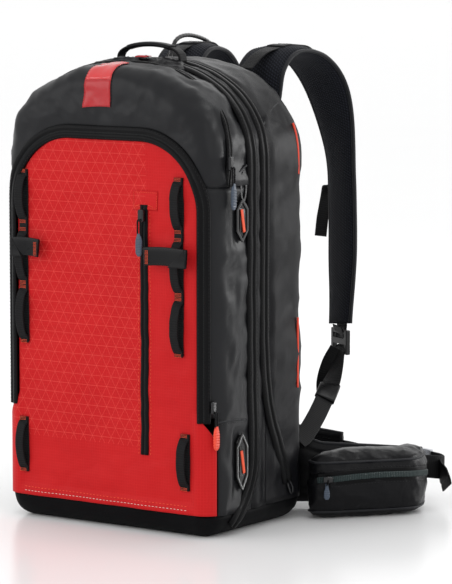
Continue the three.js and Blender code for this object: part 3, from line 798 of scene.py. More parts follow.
def topstitch(name, path, out, body, color, pitch=5.2, length=3.4, width=0.9, lift=0.5, blend=None):
    """A row of thread dashes along a path, with the outward directions of sweep."""
    out = np.broadcast_to(np.asarray(out, float), path.shape)
    step = np.linalg.norm(np.diff(path, axis=0), axis=1)
    at = np.concatenate([[0], np.cumsum(step)])
    count = int(at[-1] / pitch)
    verts, faces = [], []
    for k in range(count):
        ends = []
        for s in (k * pitch, k * pitch + length):
            p = np.array([np.interp(s, at, path[:, i]) for i in range(3)])
            o = unit(np.array([np.interp(s, at, out[:, i]) for i in range(3)]))
            ends.append((p, o))
        along = unit(ends[1][0] - ends[0][0])
        side = unit(np.cross(along, ends[0][1]))
        middle = (ends[0][0] + ends[1][0]) / 2
        rings = [(ends[0], 0.3), ((middle, ends[0][1]), 1.0), (ends[1], 0.3)]
        first = len(verts)
        for (p, o), size in rings:
            for a in range(5):
                turn = 2 * math.pi * a / 5
                r = width / 2 * size
                verts.append(p + side * r * math.cos(turn) + o * (lift * size + r * 0.8 * math.sin(turn)))
        for ring in range(2):
            for a in range(5):
                b = (a + 1) % 5
                base = first + ring * 5
                faces.append((base + a, base + b, base + 5 + b, base + 5 + a))
        faces.append(tuple(first + a for a in range(5))[::-1])
        faces.append(tuple(first + 10 + a for a in range(5)))
    mesh = bpy.data.meshes.new(name)
    mesh.from_pydata([tuple(v * MM) for v in verts], [], faces)
    obj = finish_object(name, mesh, color)
    if blend:
        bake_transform(obj)
    else:
        place(obj, body)
    return obj


DOOR_FOLD = ("pack", "front_door", (0, FRONT_Y * MM, 0.120), (0, FRONT_Y * MM, 0.165))


def front_zips():
    x, z = u_zip_path()
    base = xyz(x, front_y(x, z), z)
    out = front_normal(x, z)
    obj = sweep("front_zip_lips", base + out * 1.2, out, scaled(LIPS, 1.06, 1.2), "lip")
    place(obj, "pack", "front_zip_tape")
    coil = sweep("front_zip_coil", base + out * 2.2, out, strap_profile(2.6, 1.2, 0.5), "coil")
    place(coil, "pack")
    for side, shift in (("inner", -6.1), ("outer", 6.1)):
        along = unit(np.gradient(base, axis=0))
        rail = base + np.cross(along, out) * shift + out * 3.4
        topstitch("front_zip_stitch_" + side, rail, out, "pack", "dark_thread", 4.2, 2.8, 0.7, 0.1)
    zs = np.linspace(POCKET_ZIP_BOTTOM, POCKET_ZIP_TOP, 90)
    xs = np.full_like(zs, POCKET_ZIP[0])
    base, out = on_front(xs, zs, 0.0)
    for name, profile, material in (
        ("pocket_zip_tape_band", scaled(LIPS, 0.72, 0.62), "lip"),
        ("pocket_zip_coil", strap_profile(2.4, 1.6, 0.6), "coil"),
    ):
        obj = sweep(name, base + out * 0.3, out, profile, material)
        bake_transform(obj)
        if material == "lip":
            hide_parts("pocket_zip_tape")
    for side, shift in (("near", 8.2), ("far", -8.2)):
        rail, out = on_front(xs + shift, zs, 0.1)
        topstitch("pocket_zip_stitch_" + side, rail, out, None, "thread", 4.4, 2.9, 0.7, 0.1, blend=DOOR_FOLD)
    hem_x = np.linspace(-118, 118, 160)
    rail, out = on_front(hem_x, np.full_like(hem_x, HEM_Z + 5), 0.1)
    topstitch("hem_stitch", rail, out, "pack", "pale_thread", 5.0, 3.2, 0.8, 0.15)
    rail, out = on_front(hem_x, np.full_like(hem_x, HEM_Z + 9.5), 0.1)
    topstitch("hem_stitch_upper", rail, out, "pack", "thread", 5.0, 3.2, 0.8, 0.15)


def arch_path(depth_at, low_z, inset=0.0):
    """A path round the body over the arch, from low_z on the right to low_z on the left.

    depth_at(z) says its depth."""
    ring = section(inset, 0.0)
    path = ring[ring[:, 2] >= low_z]
    path[:, 1] = [depth_at(z) for z in path[:, 2]]
    out = unit(np.gradient(path, axis=0))
    out = xyz(out[:, 2], 0.0, -out[:, 0])
    middle = np.array([0, 0, 300.0])
    sign = np.sign(((path - middle) * out).sum(-1, keepdims=True))
    return path, out * sign


def depth_through(*stops):
    """Depth of a side rail by height, smoothed through (z, y) stops that go up."""
    zs, ys = zip(*stops)
    return lambda z: float(np.mean(np.interp(z + np.linspace(-14, 14, 9), zs, ys)))


def side_point(y, z, lift=0.0):
    """A point on the right side's skin, and its outward direction."""
    e = draw_in(y)
    w, top = HALF_WIDTH - e, BODY_TOP - e
    rise = max(0.0, (z - SPRING) / (top - SPRING))
    x = w * max(0.0, 1 - rise**ARCH_POWER) ** (1 / ARCH_POWER)
    out = np.array([1.0, 0.0, 1.4 * rise**2])
    out /= np.linalg.norm(out)
    return np.array([x, y, z]) + out * lift, out


RAIL_HOOK = [(150, 34, 48), (153, 33, 42), (153.5, 37, 34), (152, 43, 33), (151, 44, 40), (150, 40, 47)]


def side_zips():
    rails = (
        ("hood_zip_band", "hood_zip_tape", lambda z: -86.3 + 0.158 * (z - 400), 398, 0.66, 1.6, 1.1),
        (
            "gusset_zip_band",
            "gusset_zip_tape",
            depth_through((8, -78), (28, -58), (45, -43), (75, -34), (130, -35), (200, -38)),
            9,
            1.28,
            1.6,
            1.5,
        ),
        (
            "airbag_zip_band",
            "airbag_zip_tape",
            depth_through((44, 37), (75, 24), (102, 11), (130, 0), (160, -8), (200, -14)),
            44,
            1.2,
            2.0,
            1.5,
        ),
    )
    for name, node, depth, low, across, lift, tall in rails:
        path, out = arch_path(depth, low)
        lips = path + out * (lift + 0.5 * ripple(path, 46, 51))[:, None]
        obj = sweep(name, lips, out, scaled(LIPS, across, tall), "lip")
        place(obj, "pack", node)
        coil = strap_profile(2.6, 1.6, 0.6)
        place(sweep(name + "_coil", lips + out * (0.5 + 0.5 * tall), out, coil, "coil"), "pack")
        along = unit(np.gradient(lips, axis=0))
        for side, shift in (("fore", -5.6 * across), ("aft", 5.6 * across)):
            rail = lips + np.cross(along, out) * shift + out * 1.9 * tall
            topstitch(f"{name}_stitch_{side}", rail, out, "pack", "dark_thread", 4.4, 2.9, 0.7, 0.0)
    for side, sx in (("right", 1), ("left", -1)):
        for name, stops in (
            ("rear_upper_seam", [(-4, 463), (12, 472), (30, 480), (46, 485)]),
            ("rear_lower_seam", [(6, 125), (20, 127), (36, 130), (56, 135)]),
        ):
            pairs = [side_point(y, z, 1.8) for y, z in curve_points([(0, y, z) for y, z in stops], 30)[:, 1:]]
            path = np.array([a for a, _ in pairs]) * (sx, 1, 1)
            out = np.array([b for _, b in pairs]) * (sx, 1, 1)
            place(sweep(f"{name}_{side}", path, out, strap_profile(2.4, 1.5, 0.7), "binding"), "pack")
        loop = curve_points(mirrored(RAIL_HOOK, sx), 40)
        wire = strap_profile(2.2, 2.2, 1.05)
        place(sweep(f"rail_hook_{side}", loop, (0, 0.4, 1.0), wire, "dark_metal"), "pack")
    for k, (low, high) in enumerate(((404, 462), (155, 237))):
        pairs = [side_point(56, z, 3.0) for z in np.linspace(low, high, 24)]
        path = np.array([a for a, _ in pairs])
        out = np.array([b for _, b in pairs])
        place(sweep(f"rear_piping_{k}", path, out, strap_profile(2.6, 2.6, 1.2), "orange"), "pack")
    seams = (
        ("hood_side_seam", [(-96, 402), (-84, 406), (-66, 413), (-49, 421)]),
        ("base_side_seam", [(-104, 133), (-88, 134), (-66, 133), (-48, 131)]),
    )
    for side, sx in (("right", 1), ("left", -1)):
        for name, points in seams:
            pts = curve_points([(sx * (HALF_WIDTH + 0.6), y, z) for y, z in points], 40)
            bulge = push_shell(pts, None)
            inset = np.array([draw_in(y) for y in pts[:, 1]])
            pts[:, 0] = sx * (HALF_WIDTH + bulge - inset)
            out = (float(sx), 0, 0)
            place(sweep(f"{name}_{side}", pts, out, strap_profile(2.2, 1.6, 0.7), "binding"), "pack")
            rail = pts + (0, 0, -3.0)
            topstitch(f"{name}_stitch_{side}", rail, out, "pack", "dark_thread", 4.0, 2.6, 0.7, 0.2)


# ---------- webbing on the front ----------
def daisy(name, node, body, loops):
    low, high = box_mm(node)
    x = (low[0] + high[0]) / 2
    width = high[0] - low[0] + 3.6
    zs = np.arange(high[2], low[2], -1.2)
    rise = np.zeros_like(zs)
    for top, bottom in loops:
        rise = np.maximum(rise, 6.3 * band(zs, bottom, top) ** 0.55)
    base, out = on_front(np.full_like(zs, x), zs, 1.0)
    behind, section_behind = base[::3] - out[::3] * 0.2, strap_profile(width + 1, 1.0, 0.4)
    place(sweep(name + "_backing", behind, out[::3], section_behind, "web"), body)
    bowed = base + out * (1.0 + rise)[:, None] - rise[:, None] * (0.4, 0, 0)
    obj = sweep(name, bowed, out, strap_profile(width, 1.7, 0.8), "web")
    place(obj, body, node)
    tacks = sorted({z for loop in loops for z in loop})
    for k, z in enumerate(tacks):
        shift = 4 if z in [b for _, b in loops] else -4
        xs = np.linspace(x - width / 2 + 1, x + width / 2 - 1, 14)
        for j in (-1.5, 0, 1.5):
            p, n = on_front(xs, np.full_like(xs, z - shift + j), 3.0)
            topstitch(f"{name}_tack_{k}_{int(j * 2 + 3)}", p, n, body, "thread", 1.5, 1.2, 0.9, 0.1)


def keeper_tab(side, sx, body):
    """A folded rubbery strap end across the daisy strip."""
    node = "keeper_tab_" + side
    low, high = box_mm(node)
    middle = (low + high) / 2
    inner, outer = (high[0], low[0]) if sx < 0 else (low[0], high[0])
    xs = np.linspace(inner, outer, 40)
    t = np.linspace(0, 1, 40)
    path = xyz(xs, middle[1] - 0.4 + 0.9 * np.sin(t * 5), middle[2] + 1.5 * np.sin(t * 3))
    out = (0, -1.0, 0)
    obj = sweep(node + "_strap", path, out, strap_profile(21, 2.2, 1.0, 0.4), "rubber")
    place(obj, body, node)
    z0, z1 = middle[2] - 10.5, middle[2] + 10.5
    corner = [(outer, z0), (outer + (inner - outer) * 0.42, z0), (outer + (inner - outer) * 0.05, z1)]
    rows = []
    for r in np.linspace(0, 1, 14):
        p0 = np.array(corner[0]) * (1 - r) + np.array(corner[2]) * r
        p1 = np.array(corner[1]) * (1 - r) + np.array(corner[2]) * r
        line = [p0 * (1 - c) + p1 * c for c in np.linspace(0, 1, 14)]
        rows.append([(p[0], middle[1] - 2.6 + 0.7 * math.sin(3 * r), p[1]) for p in line])
    flap = grid_object(node + "_fold", np.array(rows), "rubber")
    place(thicken(flap, 1.6, 0), body)
    for k, dz in enumerate((-8.2, 8.2)):
        topstitch(f"{node}_stitch_{k}", path + (0, -1.3, dz), out, body, "dark_thread", 3.6, 2.5, 0.6, 0.0)
    for k in range(3):
        zs = np.linspace(z0 + 2, z1 - 2, 14)
        tack = xyz(inner + sx * (3 + 1.6 * k), middle[1] - 1.7, zs)
        topstitch(f"{node}_tack_{k}", tack, (0, -1.0, 0), body, "thread", 1.6, 1.3, 0.8, 0.0)


def front_webbing():
    loops = ((403, 352), (335, 281), (268, 212))
    low_loop = ((113, 60),)
    for side, sx in (("right", 1), ("left", -1)):
        daisy("daisy_web_" + side, "daisy_strip_" + side, "front_door", loops)
        daisy("daisy_web_lower_" + side, "daisy_strip_lower_" + side, "pack", low_loop)
        keeper_tab(side, sx, "keeper_tab_" + side)


# ---------- patches, flaps and tags ----------
def hood_track(x, lift):
    """Points at x from low on the hood's front, up over its rounded edge, to its top."""
    out = []
    for e in np.linspace(47, FRONT_ROUND, 12):
        out.append((e, FRONT_Y))
    for a in np.linspace(0, math.pi / 2, 14)[1:]:
        out.append((FRONT_ROUND * (1 - math.sin(a)), FRONT_Y + FRONT_ROUND * (1 - math.cos(a))))
    for y in np.linspace(FRONT_Y + FRONT_ROUND + 1, -80, 5):
        out.append((0.0, y))
    points = []
    for e, y in out:
        w, top = HALF_WIDTH - e, BODY_TOP - e
        z = SPRING + (top - SPRING) * (1 - (abs(x) / w) ** ARCH_POWER) ** (1 / ARCH_POWER)
        points.append((x, y, z))
    points = np.array(points)
    along = unit(np.gradient(points, axis=0))
    n = xyz(0.0, -along[:, 2], along[:, 1])
    return points + n * (push_hood(points, n) + lift)[:, None]


def hood_stripe():
    xs = np.linspace(-29, 9, 12)
    whole = np.array([hood_track(x, 0.8) for x in xs]).transpose(1, 0, 2)
    # The upper part, over the hood's rounded edge and top, takes the lighter red as a painted highlight. The
    # lower part on the front takes the plain stripe red.
    for name, rows, material in (("lower", slice(0, 15), "stripe"), ("upper", slice(14, 31), "stripe_gloss_painted_highlight")):
        obj = thicken(grid_object("hood_stripe_" + name, whole[rows], material), 0.7, 0)
        place(obj, "pack")
    for k, x in enumerate((-29.6, 9.6)):
        rail = hood_track(x, 1.0)
        out = unit(np.cross(np.gradient(rail, axis=0), (1.0, 0, 0)))
        out *= np.sign(out[:, 2:3] - out[:, 1:2])
        topstitch(f"hood_stripe_stitch_{k}", rail, out, "pack", "dark_thread", 4.0, 2.6, 0.7, 0.1)


def top_flap():
    """Loose black cloth bunched over the top, under the handle."""
    xs = np.linspace(-88, 62, 90)
    rows = []
    for v in np.linspace(0, 1, 30):
        y = -63 + 47 * v
        z = SPRING + (BODY_TOP - SPRING) * (1 - (np.abs(xs) / HALF_WIDTH) ** ARCH_POWER) ** (1 / ARCH_POWER)
        p = xyz(xs + 3 * np.sin(v * 5), y, z)
        ends = np.clip((xs + 88) / 14, 0, 1) * np.clip((62 - xs) / 14, 0, 1)
        rim = min(1, min(v, 1 - v) * 5) * ends
        folds = crease(p * (1, 1.6, 1), 24, 61) * 3.6 + 2.2 * ripple(p, 34, 63) + 3.2
        p[:, 2] += 1.4 + np.clip(folds, 0, 7.5) * rim
        rows.append(p)
    obj = thicken(grid_object("top_flap", np.array(rows), "nylon"), 1.0, -1)
    place(obj, "pack")
    xs = np.linspace(2, 17, 8)
    tag = [xyz(xs, y, 540.3 - 0.004 * (xs - 8) ** 2 + dz) for y, dz in ((-60, -0.4), (-54, 0.6), (-48, 0.2))]
    place(thicken(grid_object("top_flap_tag", np.array(tag), "stripe"), 1.0, 0), "pack")


def port_tags():
    """A glossy six-sided rim, a folded pull and a short red tag in each side port."""
    for name, (low, high) in zip(("upper", "lower"), PORTS):
        middle, half = (low + high) / 2, (high - low) / 2
        corners = [(0, 1), (-0.92, 0.55), (-0.92, -0.5), (0, -1), (0.92, -0.5), (0.92, 0.55), (0, 1)]
        rim = []
        for a, b in zip(corners, corners[1:]):
            for t in np.arange(8) / 8:
                y, z = a[0] + (b[0] - a[0]) * t, a[1] + (b[1] - a[1]) * t
                rim.append((high[0] + 0.4, middle[1] + half[1] * y, middle[2] + half[2] * z))
        out = (1.0, 0, 0)
        edge = strap_profile(3.4, 2.6, 1.1)
        place(sweep(f"port_{name}_rim", np.array(rim), out, edge, "gloss", closed_path=True), "pack")
        zs = np.linspace(low[2] + 8, high[2] - 8, 30)
        web = xyz(high[0] - 0.9 + 1.2 * np.sin(np.linspace(0, math.pi, 30)), middle[1] + 0.5, zs)
        place(sweep(f"port_{name}_pocket", web, out, strap_profile(12, 1.2, 0.5), "rubber"), "pack")
        zs = np.linspace(middle[2] - 13, middle[2] + 13, 16)
        path = xyz(high[0] + 1.4, middle[1] - 0.2 * (zs - middle[2]), zs)
        place(sweep(f"port_{name}_tag", path, out, strap_profile(4.4, 1.4, 0.6), "thread"), "pack")


def zip_patch():
    """The reinforced patch over the pocket zip's upper end."""
    xs, zs = np.meshgrid(np.linspace(40, 74, 14), np.linspace(POCKET_ZIP_TOP - 6, POCKET_ZIP_TOP + 16, 10))
    points, _ = on_front(xs, zs, 0.4)
    uv = np.stack([xs, zs], axis=-1)
    obj = thicken(grid_object("pocket_zip_patch", points, "red", uv=uv), 0.6, 0)
    place(obj, "front_door")
    corners = [(41, -4), (73, -4), (73, 14), (41, 14), (41, -4)]
    for k, (a, b) in enumerate(zip(corners, corners[1:])):
        xs, zs = np.linspace(a[0], b[0], 20), POCKET_ZIP_TOP + np.linspace(a[1], b[1], 20)
        rail, out = on_front(xs, zs, 0.9)
        topstitch(f"zip_patch_stitch_{k}", rail, out, "front_door", "thread", 2.6, 1.8, 0.5, 0.1)
    for k, (x, turn) in enumerate(((46.5, 0.3), (64.5, -0.3))):
        xs = x + np.linspace(-3.5, 3.5, 12)
        rail, out = on_front(xs, POCKET_ZIP_TOP - 1 + turn * (xs - x), 0.9)
        topstitch(f"zip_patch_tack_{k}", rail, out, "front_door", "thread", 1.4, 1.2, 0.9, 0.2)


# ---------- pullers and hard parts ----------
def puller(name, node, body, material, flat_axis):
    """A moulded grip with finger ridges under a loop of cord, in the space of its CAD solid."""
    low, high = box_mm(node)
    middle, length = (low + high) / 2, high[2] - low[2]
    wide = high[1 - flat_axis] - low[1 - flat_axis]
    thick = high[flat_axis] - low[flat_axis] + 1.2
    grip = 0.62 * length
    rings = []
    for t in np.linspace(0, 1, 60):
        z = low[2] + grip * (1 - t)
        w = wide / 2 * (0.52 + 0.48 * smoothstep(t, 0, 0.35)) * min(1, 6 * (1.02 - t)) ** 0.5
        h = thick / 2 * (0.62 + 0.30 * band(t, 0, 1)) * min(1, 8 * (1.02 - t)) ** 0.5
        h *= 1 + 0.20 * (0.22 < t < 0.86) * math.cos(2 * math.pi * t * 9)
        ring = []
        for k in range(20):
            a = 2 * math.pi * k / 20
            u = w * math.copysign(abs(math.cos(a)) ** 0.6, math.cos(a))
            v = h * math.copysign(abs(math.sin(a)) ** 0.8, math.sin(a))
            p = [0, 0, z]
            p[1 - flat_axis] = middle[1 - flat_axis] + u
            p[flat_axis] = middle[flat_axis] + v
            ring.append(p)
        rings.append(ring)
    grip_obj = grid_object(name, np.array(rings), material, closed=True)
    close_ends(grip_obj)
    place(grip_obj, body, node)
    top = []
    for k in range(21):
        a = math.pi * k / 20
        p = [0, 0, 0]
        p[1 - flat_axis] = middle[1 - flat_axis] + 1.9 * math.cos(a)
        p[flat_axis] = middle[flat_axis]
        p[2] = high[2] - 2.4 + 2.2 * math.sin(a)
        top.append(p)
    foot = low[2] + grip - 3
    ends = [np.array(top[0]) * (1, 1, 0) + (0, 0, foot), np.array(top[-1]) * (1, 1, 0) + (0, 0, foot)]
    path = curve_points([ends[0], *top, ends[1]], 60)
    out = (1.0, 0, 0) if flat_axis == 0 else (0, -1.0, 0)
    place(sweep(name + "_cord", path, out, strap_profile(1.9, 1.9, 0.94), "web"), body)


def close_ends(obj):
    bm = bmesh.new()
    bm.from_mesh(obj.data)
    bmesh.ops.holes_fill(bm, edges=[e for e in bm.edges if e.is_boundary], sides=0)
    bmesh.ops.recalc_face_normals(bm, faces=bm.faces)
    bm.to_mesh(obj.data)
    bm.free()
    return obj


def finish_node(node, material, bevel):
    """Gives a CAD node that stays its material and softened edges."""
    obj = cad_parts[node]
    obj.data.materials.clear()
    obj.data.materials.append(MAT[material])
    for p in obj.data.polygons:
        p.use_smooth = True
    if bevel:
        b = obj.modifiers.new("edges", "BEVEL")
        b.width = bevel * MM
        b.segments = 3
        b.limit_method = "ANGLE"
        b.angle_limit = math.radians(32)
        b.harden_normals = False
        w = obj.modifiers.new("shading", "WEIGHTED_NORMAL")
        w.keep_sharp = False


def hard_parts():
    for node, material, bevel in (
        ("pocket_zip_slider", "dark_metal", 0.5),
        ("front_zip_slider", "dark_metal", 0.5),
        ("hood_zip_slider", "dark_metal", 0.5),
        ("tool_port_upper", "rubber", 0.6),
        ("tool_port_lower", "rubber", 0.6),
        ("side_ring", "plastic", 0.6),
        ("ladder_lock_right", "plastic", 0.8),
        ("ladder_lock_left", "plastic", 0.8),
        ("sternum_slider_right", "plastic", 1.2),
        ("sternum_slider_left", "plastic", 1.2),
        ("hip_buckle_hook_left", "aluminium", 0.7),
        ("hip_buckle_slot_right", "aluminium", 0.7),
        ("trigger_handle", "orange", 1.0),
        ("frame_sheet", "plastic", 0.4),
        ("frame_stay_right", "aluminium", 0.5),
        ("frame_stay_left", "aluminium", 0.5),
        ("gas_cartridge", "steel", 0.5),
        ("inflation_valve_body", "aluminium", 0.5),
        ("valve_piston", "steel", 0.4),
        ("trigger_cable_inner", "plastic", 0),
        ("divider_panel", "lining", 0.4),
    ):
        finish_node(node, material, bevel)
    puller("pocket_puller_grip", "pocket_zip_puller", "pocket_zip_puller", "slate", 1)
    puller("front_puller_grip", "front_zip_puller", "front_zip_puller", "orange", 0)
    puller("hood_puller_grip", "hood_zip_puller", "hood_zip_puller", "slate", 0)


# ---------- harness ----------
STRAP_ROUTE = [
    (60, 103, 486), (61, 113, 522), (64, 142, 541), (70, 190, 532), (77, 228, 492),
    (84, 246, 420), (90, 244, 340), (95, 236, 262), (98, 228, 208),
]
LOWER_ROUTE = [
    (99.5, 229, 184), (101, 222, 176), (106, 208, 160), (115, 180, 140),
    (127, 134, 112), (132, 100, 92), (132, 84, 86),
]
CABLE_ROUTE = [
    (-93, 266, 338), (-92, 268, 380), (-88, 267, 425), (-81, 248, 495), (-74, 205, 540),
    (-66, 150, 556), (-60, 108, 553), (-57, 90, 530), (-57, 89, 506),
]


def strap_frame(sx, count):
    """Points, outward and across directions, and share of length along a shoulder strap."""
    pts = curve_points(mirrored(STRAP_ROUTE, sx), count)
    t = np.linspace(0, 1, count)
    turn = math.radians(29) * smoothstep(t, 0.3, 0.62)
    across = xyz(sx * np.cos(turn), -np.sin(turn), 0.0)
    along = unit(np.gradient(pts, axis=0))
    across = unit(across - (across * along).sum(-1, keepdims=True) * along)
    out = -np.cross(along, across) * sx
    return pts, out, across, t


def pillow_profile(width, thick, rim=2.4, power=3.0, n=11):
    """A padded strap's section: full in the middle, thin at its bound edges."""
    us = np.linspace(-1, 1, n)
    half = rim / 2 + (thick - rim) / 2 * (1 - np.abs(us) ** power)
    top = [(u * width / 2, h) for u, h in zip(us, half)]
    return top + [(u, -h) for u, h in top[::-1]]


def padded_strap(side, sx):
    body = "shoulder_strap_" + side
    count = 110
    pts, out, across, t = strap_frame(sx, count)
    width = 68 - 14 * smoothstep(t, 0.8, 1)
    end = np.minimum(1, np.minimum(t, 1 - t) * 30 + 0.45)
    wave = 1 + 0.05 * np.sin(t * 34)
    profile = np.array([pillow_profile(w - 4, 13.0 * e * k) for w, e, k in zip(width, end, wave)])
    obj = sweep("shoulder_pad_" + side, pts, out, profile, "mesh")
    place(obj, body, "shoulder_strap_" + side)
    for name, s in (("outer", 1), ("inner", -1)):
        rail = pts + across * (s * (width / 2 - 2.2))[:, None]
        place(sweep(f"strap_binding_{side}_{name}", rail, out, strap_profile(5.0, 4.6, 2.1), "binding"), body)
        seam = rail - across * (s * 3.4) + out * 3.0
        topstitch(f"strap_stitch_{side}_{name}", seam, out, body, "dark_thread", 4.0, 2.7, 0.7, 0.3)
    some = slice(16, 104)
    lift = pts[some] + out[some] * 6.6
    face = sweep("strap_face_web_" + side, lift, out[some], strap_profile(25, 1.6, 0.7), "web")
    place(face, body)
    for k, at in enumerate((20, 44, 66, 88, 100)):
        row = np.stack([pts[at] + out[at] * 7.7 + across[at] * u for u in np.linspace(-11, 11, 16)])
        topstitch(f"strap_tack_{side}_{k}", row, out[at], body, "dark_thread", 1.6, 1.3, 1.0, 0.0)
    on_pack = mirrored([(62, 118, 542), (58, 82, 522)], sx)
    lifter = curve_points([pts[34] + out[34] * 8.5, pts[26] + out[26] * 10, *on_pack], 50)
    up = (0, -0.3, 1.0)
    web = sweep("load_lifter_" + side, lifter, up, strap_profile(19, 1.6, 0.7), "web")
    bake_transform(web)
    loop = [(98, 230, 214), (99.5, 229, 204), (99.5, 225, 196), (98, 221, 206)]
    loop = curve_points(mirrored(loop, sx), 24)
    place(sweep("ladder_anchor_" + side, loop, out[-1], strap_profile(24, 1.6, 0.7), "web"), body)
    lower = curve_points(mirrored(LOWER_ROUTE, sx), 80)
    twist = smoothstep(np.linspace(0, 1, 80), 0.12, 0.6)[:, None]
    across_low = np.array([0.87 * sx, -0.48, 0.0]) * (1 - twist) + np.array([0.6 * sx, 0.36, -0.45]) * twist
    along = unit(np.gradient(lower, axis=0))
    normal = unit(np.cross(along, across_low))
    obj = sweep("lower_strap_web_band_" + side, lower, normal, strap_profile(22, 1.9, 0.9), "web")
    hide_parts("lower_strap_web_" + side)
    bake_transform(obj)
    keep = curve_points([lower[30], lower[36], lower[42]], 10)
    sleeve = sweep("web_keeper_" + side, keep, normal[30:40], strap_profile(25, 5.0, 1.6), "rubber")
    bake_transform(sleeve)
    tail = curve_points(mirrored([(98, 221, 178), (92, 212, 160), (90, 204, 138), (94, 200, 118)], sx), 30)
    tail = sweep("web_tail_" + side, tail, (0.3 * sx, -0.95, 0), strap_profile(19, 1.6, 0.7), "web")
    place(tail, "ladder_lock_" + side)
    route = [(72, 271, 385), (58, 277, 381), (46, 278, 362), (42, 274, 335), (41, 270, 308)]
    path = curve_points(mirrored(route, sx), 50)
    across_web = (sx * 0.6, 0.1, 1.0)
    normal = unit(np.cross(unit(np.gradient(path, axis=0)), across_web))
    obj = sweep("sternum_band_" + side, path, normal, strap_profile(18, 1.9, 0.8), "web")
    place(obj, "sternum_strap_" + side, "sternum_web_" + side)


def harness():
    for side, sx in (("right", 1), ("left", -1)):
        padded_strap(side, sx)
    path = curve_points(CABLE_ROUTE, 160)
    out = (1.0, 0.1, 0.1)
    thickness = 4.9 + 0.35 * np.sin(np.arange(160) * 2.1)
    ridged = np.array([strap_profile(wide, wide, 2.4) for wide in thickness])
    cable = sweep("trigger_cable_sheath", path, out, ridged, "plastic")
    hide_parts("trigger_cable_outer")
    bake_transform(cable)
    arc = [(44 * math.cos(a), -24.5, 536 + 17 * math.sin(a) ** 0.8) for a in np.linspace(0, math.pi, 40)]
    path = np.array([(45, -24.5, 531.5), *arc, (-45, -24.5, 531.5)])
    middle = np.array([0, -24.5, 515.0])
    obj = sweep("grab_handle_web", path, unit(path - middle), strap_profile(14, 3.0, 1.2), "web")
    place(obj, "grab_handle", "grab_handle")
    grip, up = path[11:31], unit(path - middle)[11:31]
    obj = sweep("grab_handle_grip", grip, up, strap_profile(15, 5.0, 2.3, 0.5), "nylon")
    place(obj, "grab_handle")
    for k, sx in enumerate((1, -1)):
        xs = np.linspace(34, 47, 12) * sx
        foot = xyz(xs, -24.5, 532.4 - 0.0022 * np.abs(xs) ** 2)
        place(sweep(f"grab_handle_foot_{k}", foot, (0, 0, 1.0), strap_profile(17, 2.2, 1.0), "web"), "pack")


# ---------- hip belt ----------
def wing_part(side, points, sx):
    body = "hip_belt_" + side
    count = 90
    path = curve_points([(x, y, 0) for x, y in points], count)
    along = unit(np.gradient(path, axis=0))
    normal = xyz(-along[:, 1], along[:, 0], 0.0)
    t = np.linspace(0, 1, count)
    low = 8 + 10 * t * t
    high = 118 - 36 * smoothstep(t, 0, 0.4) - 14 * t * t
    end = np.minimum(1, np.minimum(t, 1 - t) * 14 + 0.45)
    rings, k = [], 26
    for i in range(count):
        vs = np.linspace(-1, 1, k)
        seam = 1 - 0.5 * np.exp(-(((vs - 0.66) / 0.05) ** 2)) - 0.3 * np.exp(-(((vs + 0.66) / 0.05) ** 2))
        half = 1.3 + 5.2 * end[i] * (1 - np.abs(vs) ** 5) * seam
        z = (low[i] + high[i]) / 2 + vs * (high[i] - low[i] - 4) / 2
        front = path[i] + normal[i] * half[:, None] + xyz(0.0, 0.0, z)
        back = path[i] - normal[i] * half[:, None] + xyz(0.0, 0.0, z)
        rings.append(np.vstack([front, back[::-1]]))
    rings = np.array(rings)
    centre = (rings.mean(axis=1, keepdims=True) - rings)
    rings += unit(centre) * (0.7 * ripple(rings, 28, 41))[..., None]
    obj = close_ends(grid_object("hip_wing_" + side, rings, "hip", closed=True))
    # The left wing curls back across the pack, so its root points run rearwards. topstitch reads none of
    # them: given any blend, it only bakes the stitches in place.
    root = ((0.062, 0.106, 0.05), (0.086, 0.108, 0.05))
    if sx < 0:
        root = ((-0.062, 0.106, 0.05), (-0.0662, 0.1193, 0.05))
    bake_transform(obj)
    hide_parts("hip_belt_wing_" + side)
    for name, z in (("upper", high - 2), ("lower", low + 2)):
        rail = path + xyz(0.0, 0.0, z)
        bound = sweep(f"hip_binding_{side}_{name}", rail, normal, strap_profile(5.0, 4.2, 1.9), "binding")
        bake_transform(bound)
    for s in (1, -1):
        rail = path + normal * (s * 4.6) + xyz(0.0, 0.0, high - 10)
        name = f"hip_stitch_{side}_{'in' if s > 0 else 'out'}"
        rail, facing = rail[4:-3], normal[4:-3] * s
        topstitch(name, rail, facing, None, "dark_thread", 4.2, 2.9, 0.8, 0.3, blend=("pack", body, *root))


POCKET = [
    (158, 66), (176, 62), (214, 100), (246, 142), (252, 164),
    (243, 188), (227, 208), (208, 184), (178, 147), (154, 121),
]


def pocket_outline(inset, count=110):
    ring = np.array([(x, y, 0.0) for x, y in POCKET + POCKET[:1]])
    dense = curve_points(ring, count + 1)[:-1]
    along = unit(np.roll(dense, -1, axis=0) - np.roll(dense, 1, axis=0))
    inward = xyz(-along[:, 1], along[:, 0], 0.0)
    if ((dense.mean(axis=0) - dense) * inward).sum() < 0:
        inward = -inward
    return dense + inward * inset, -inward


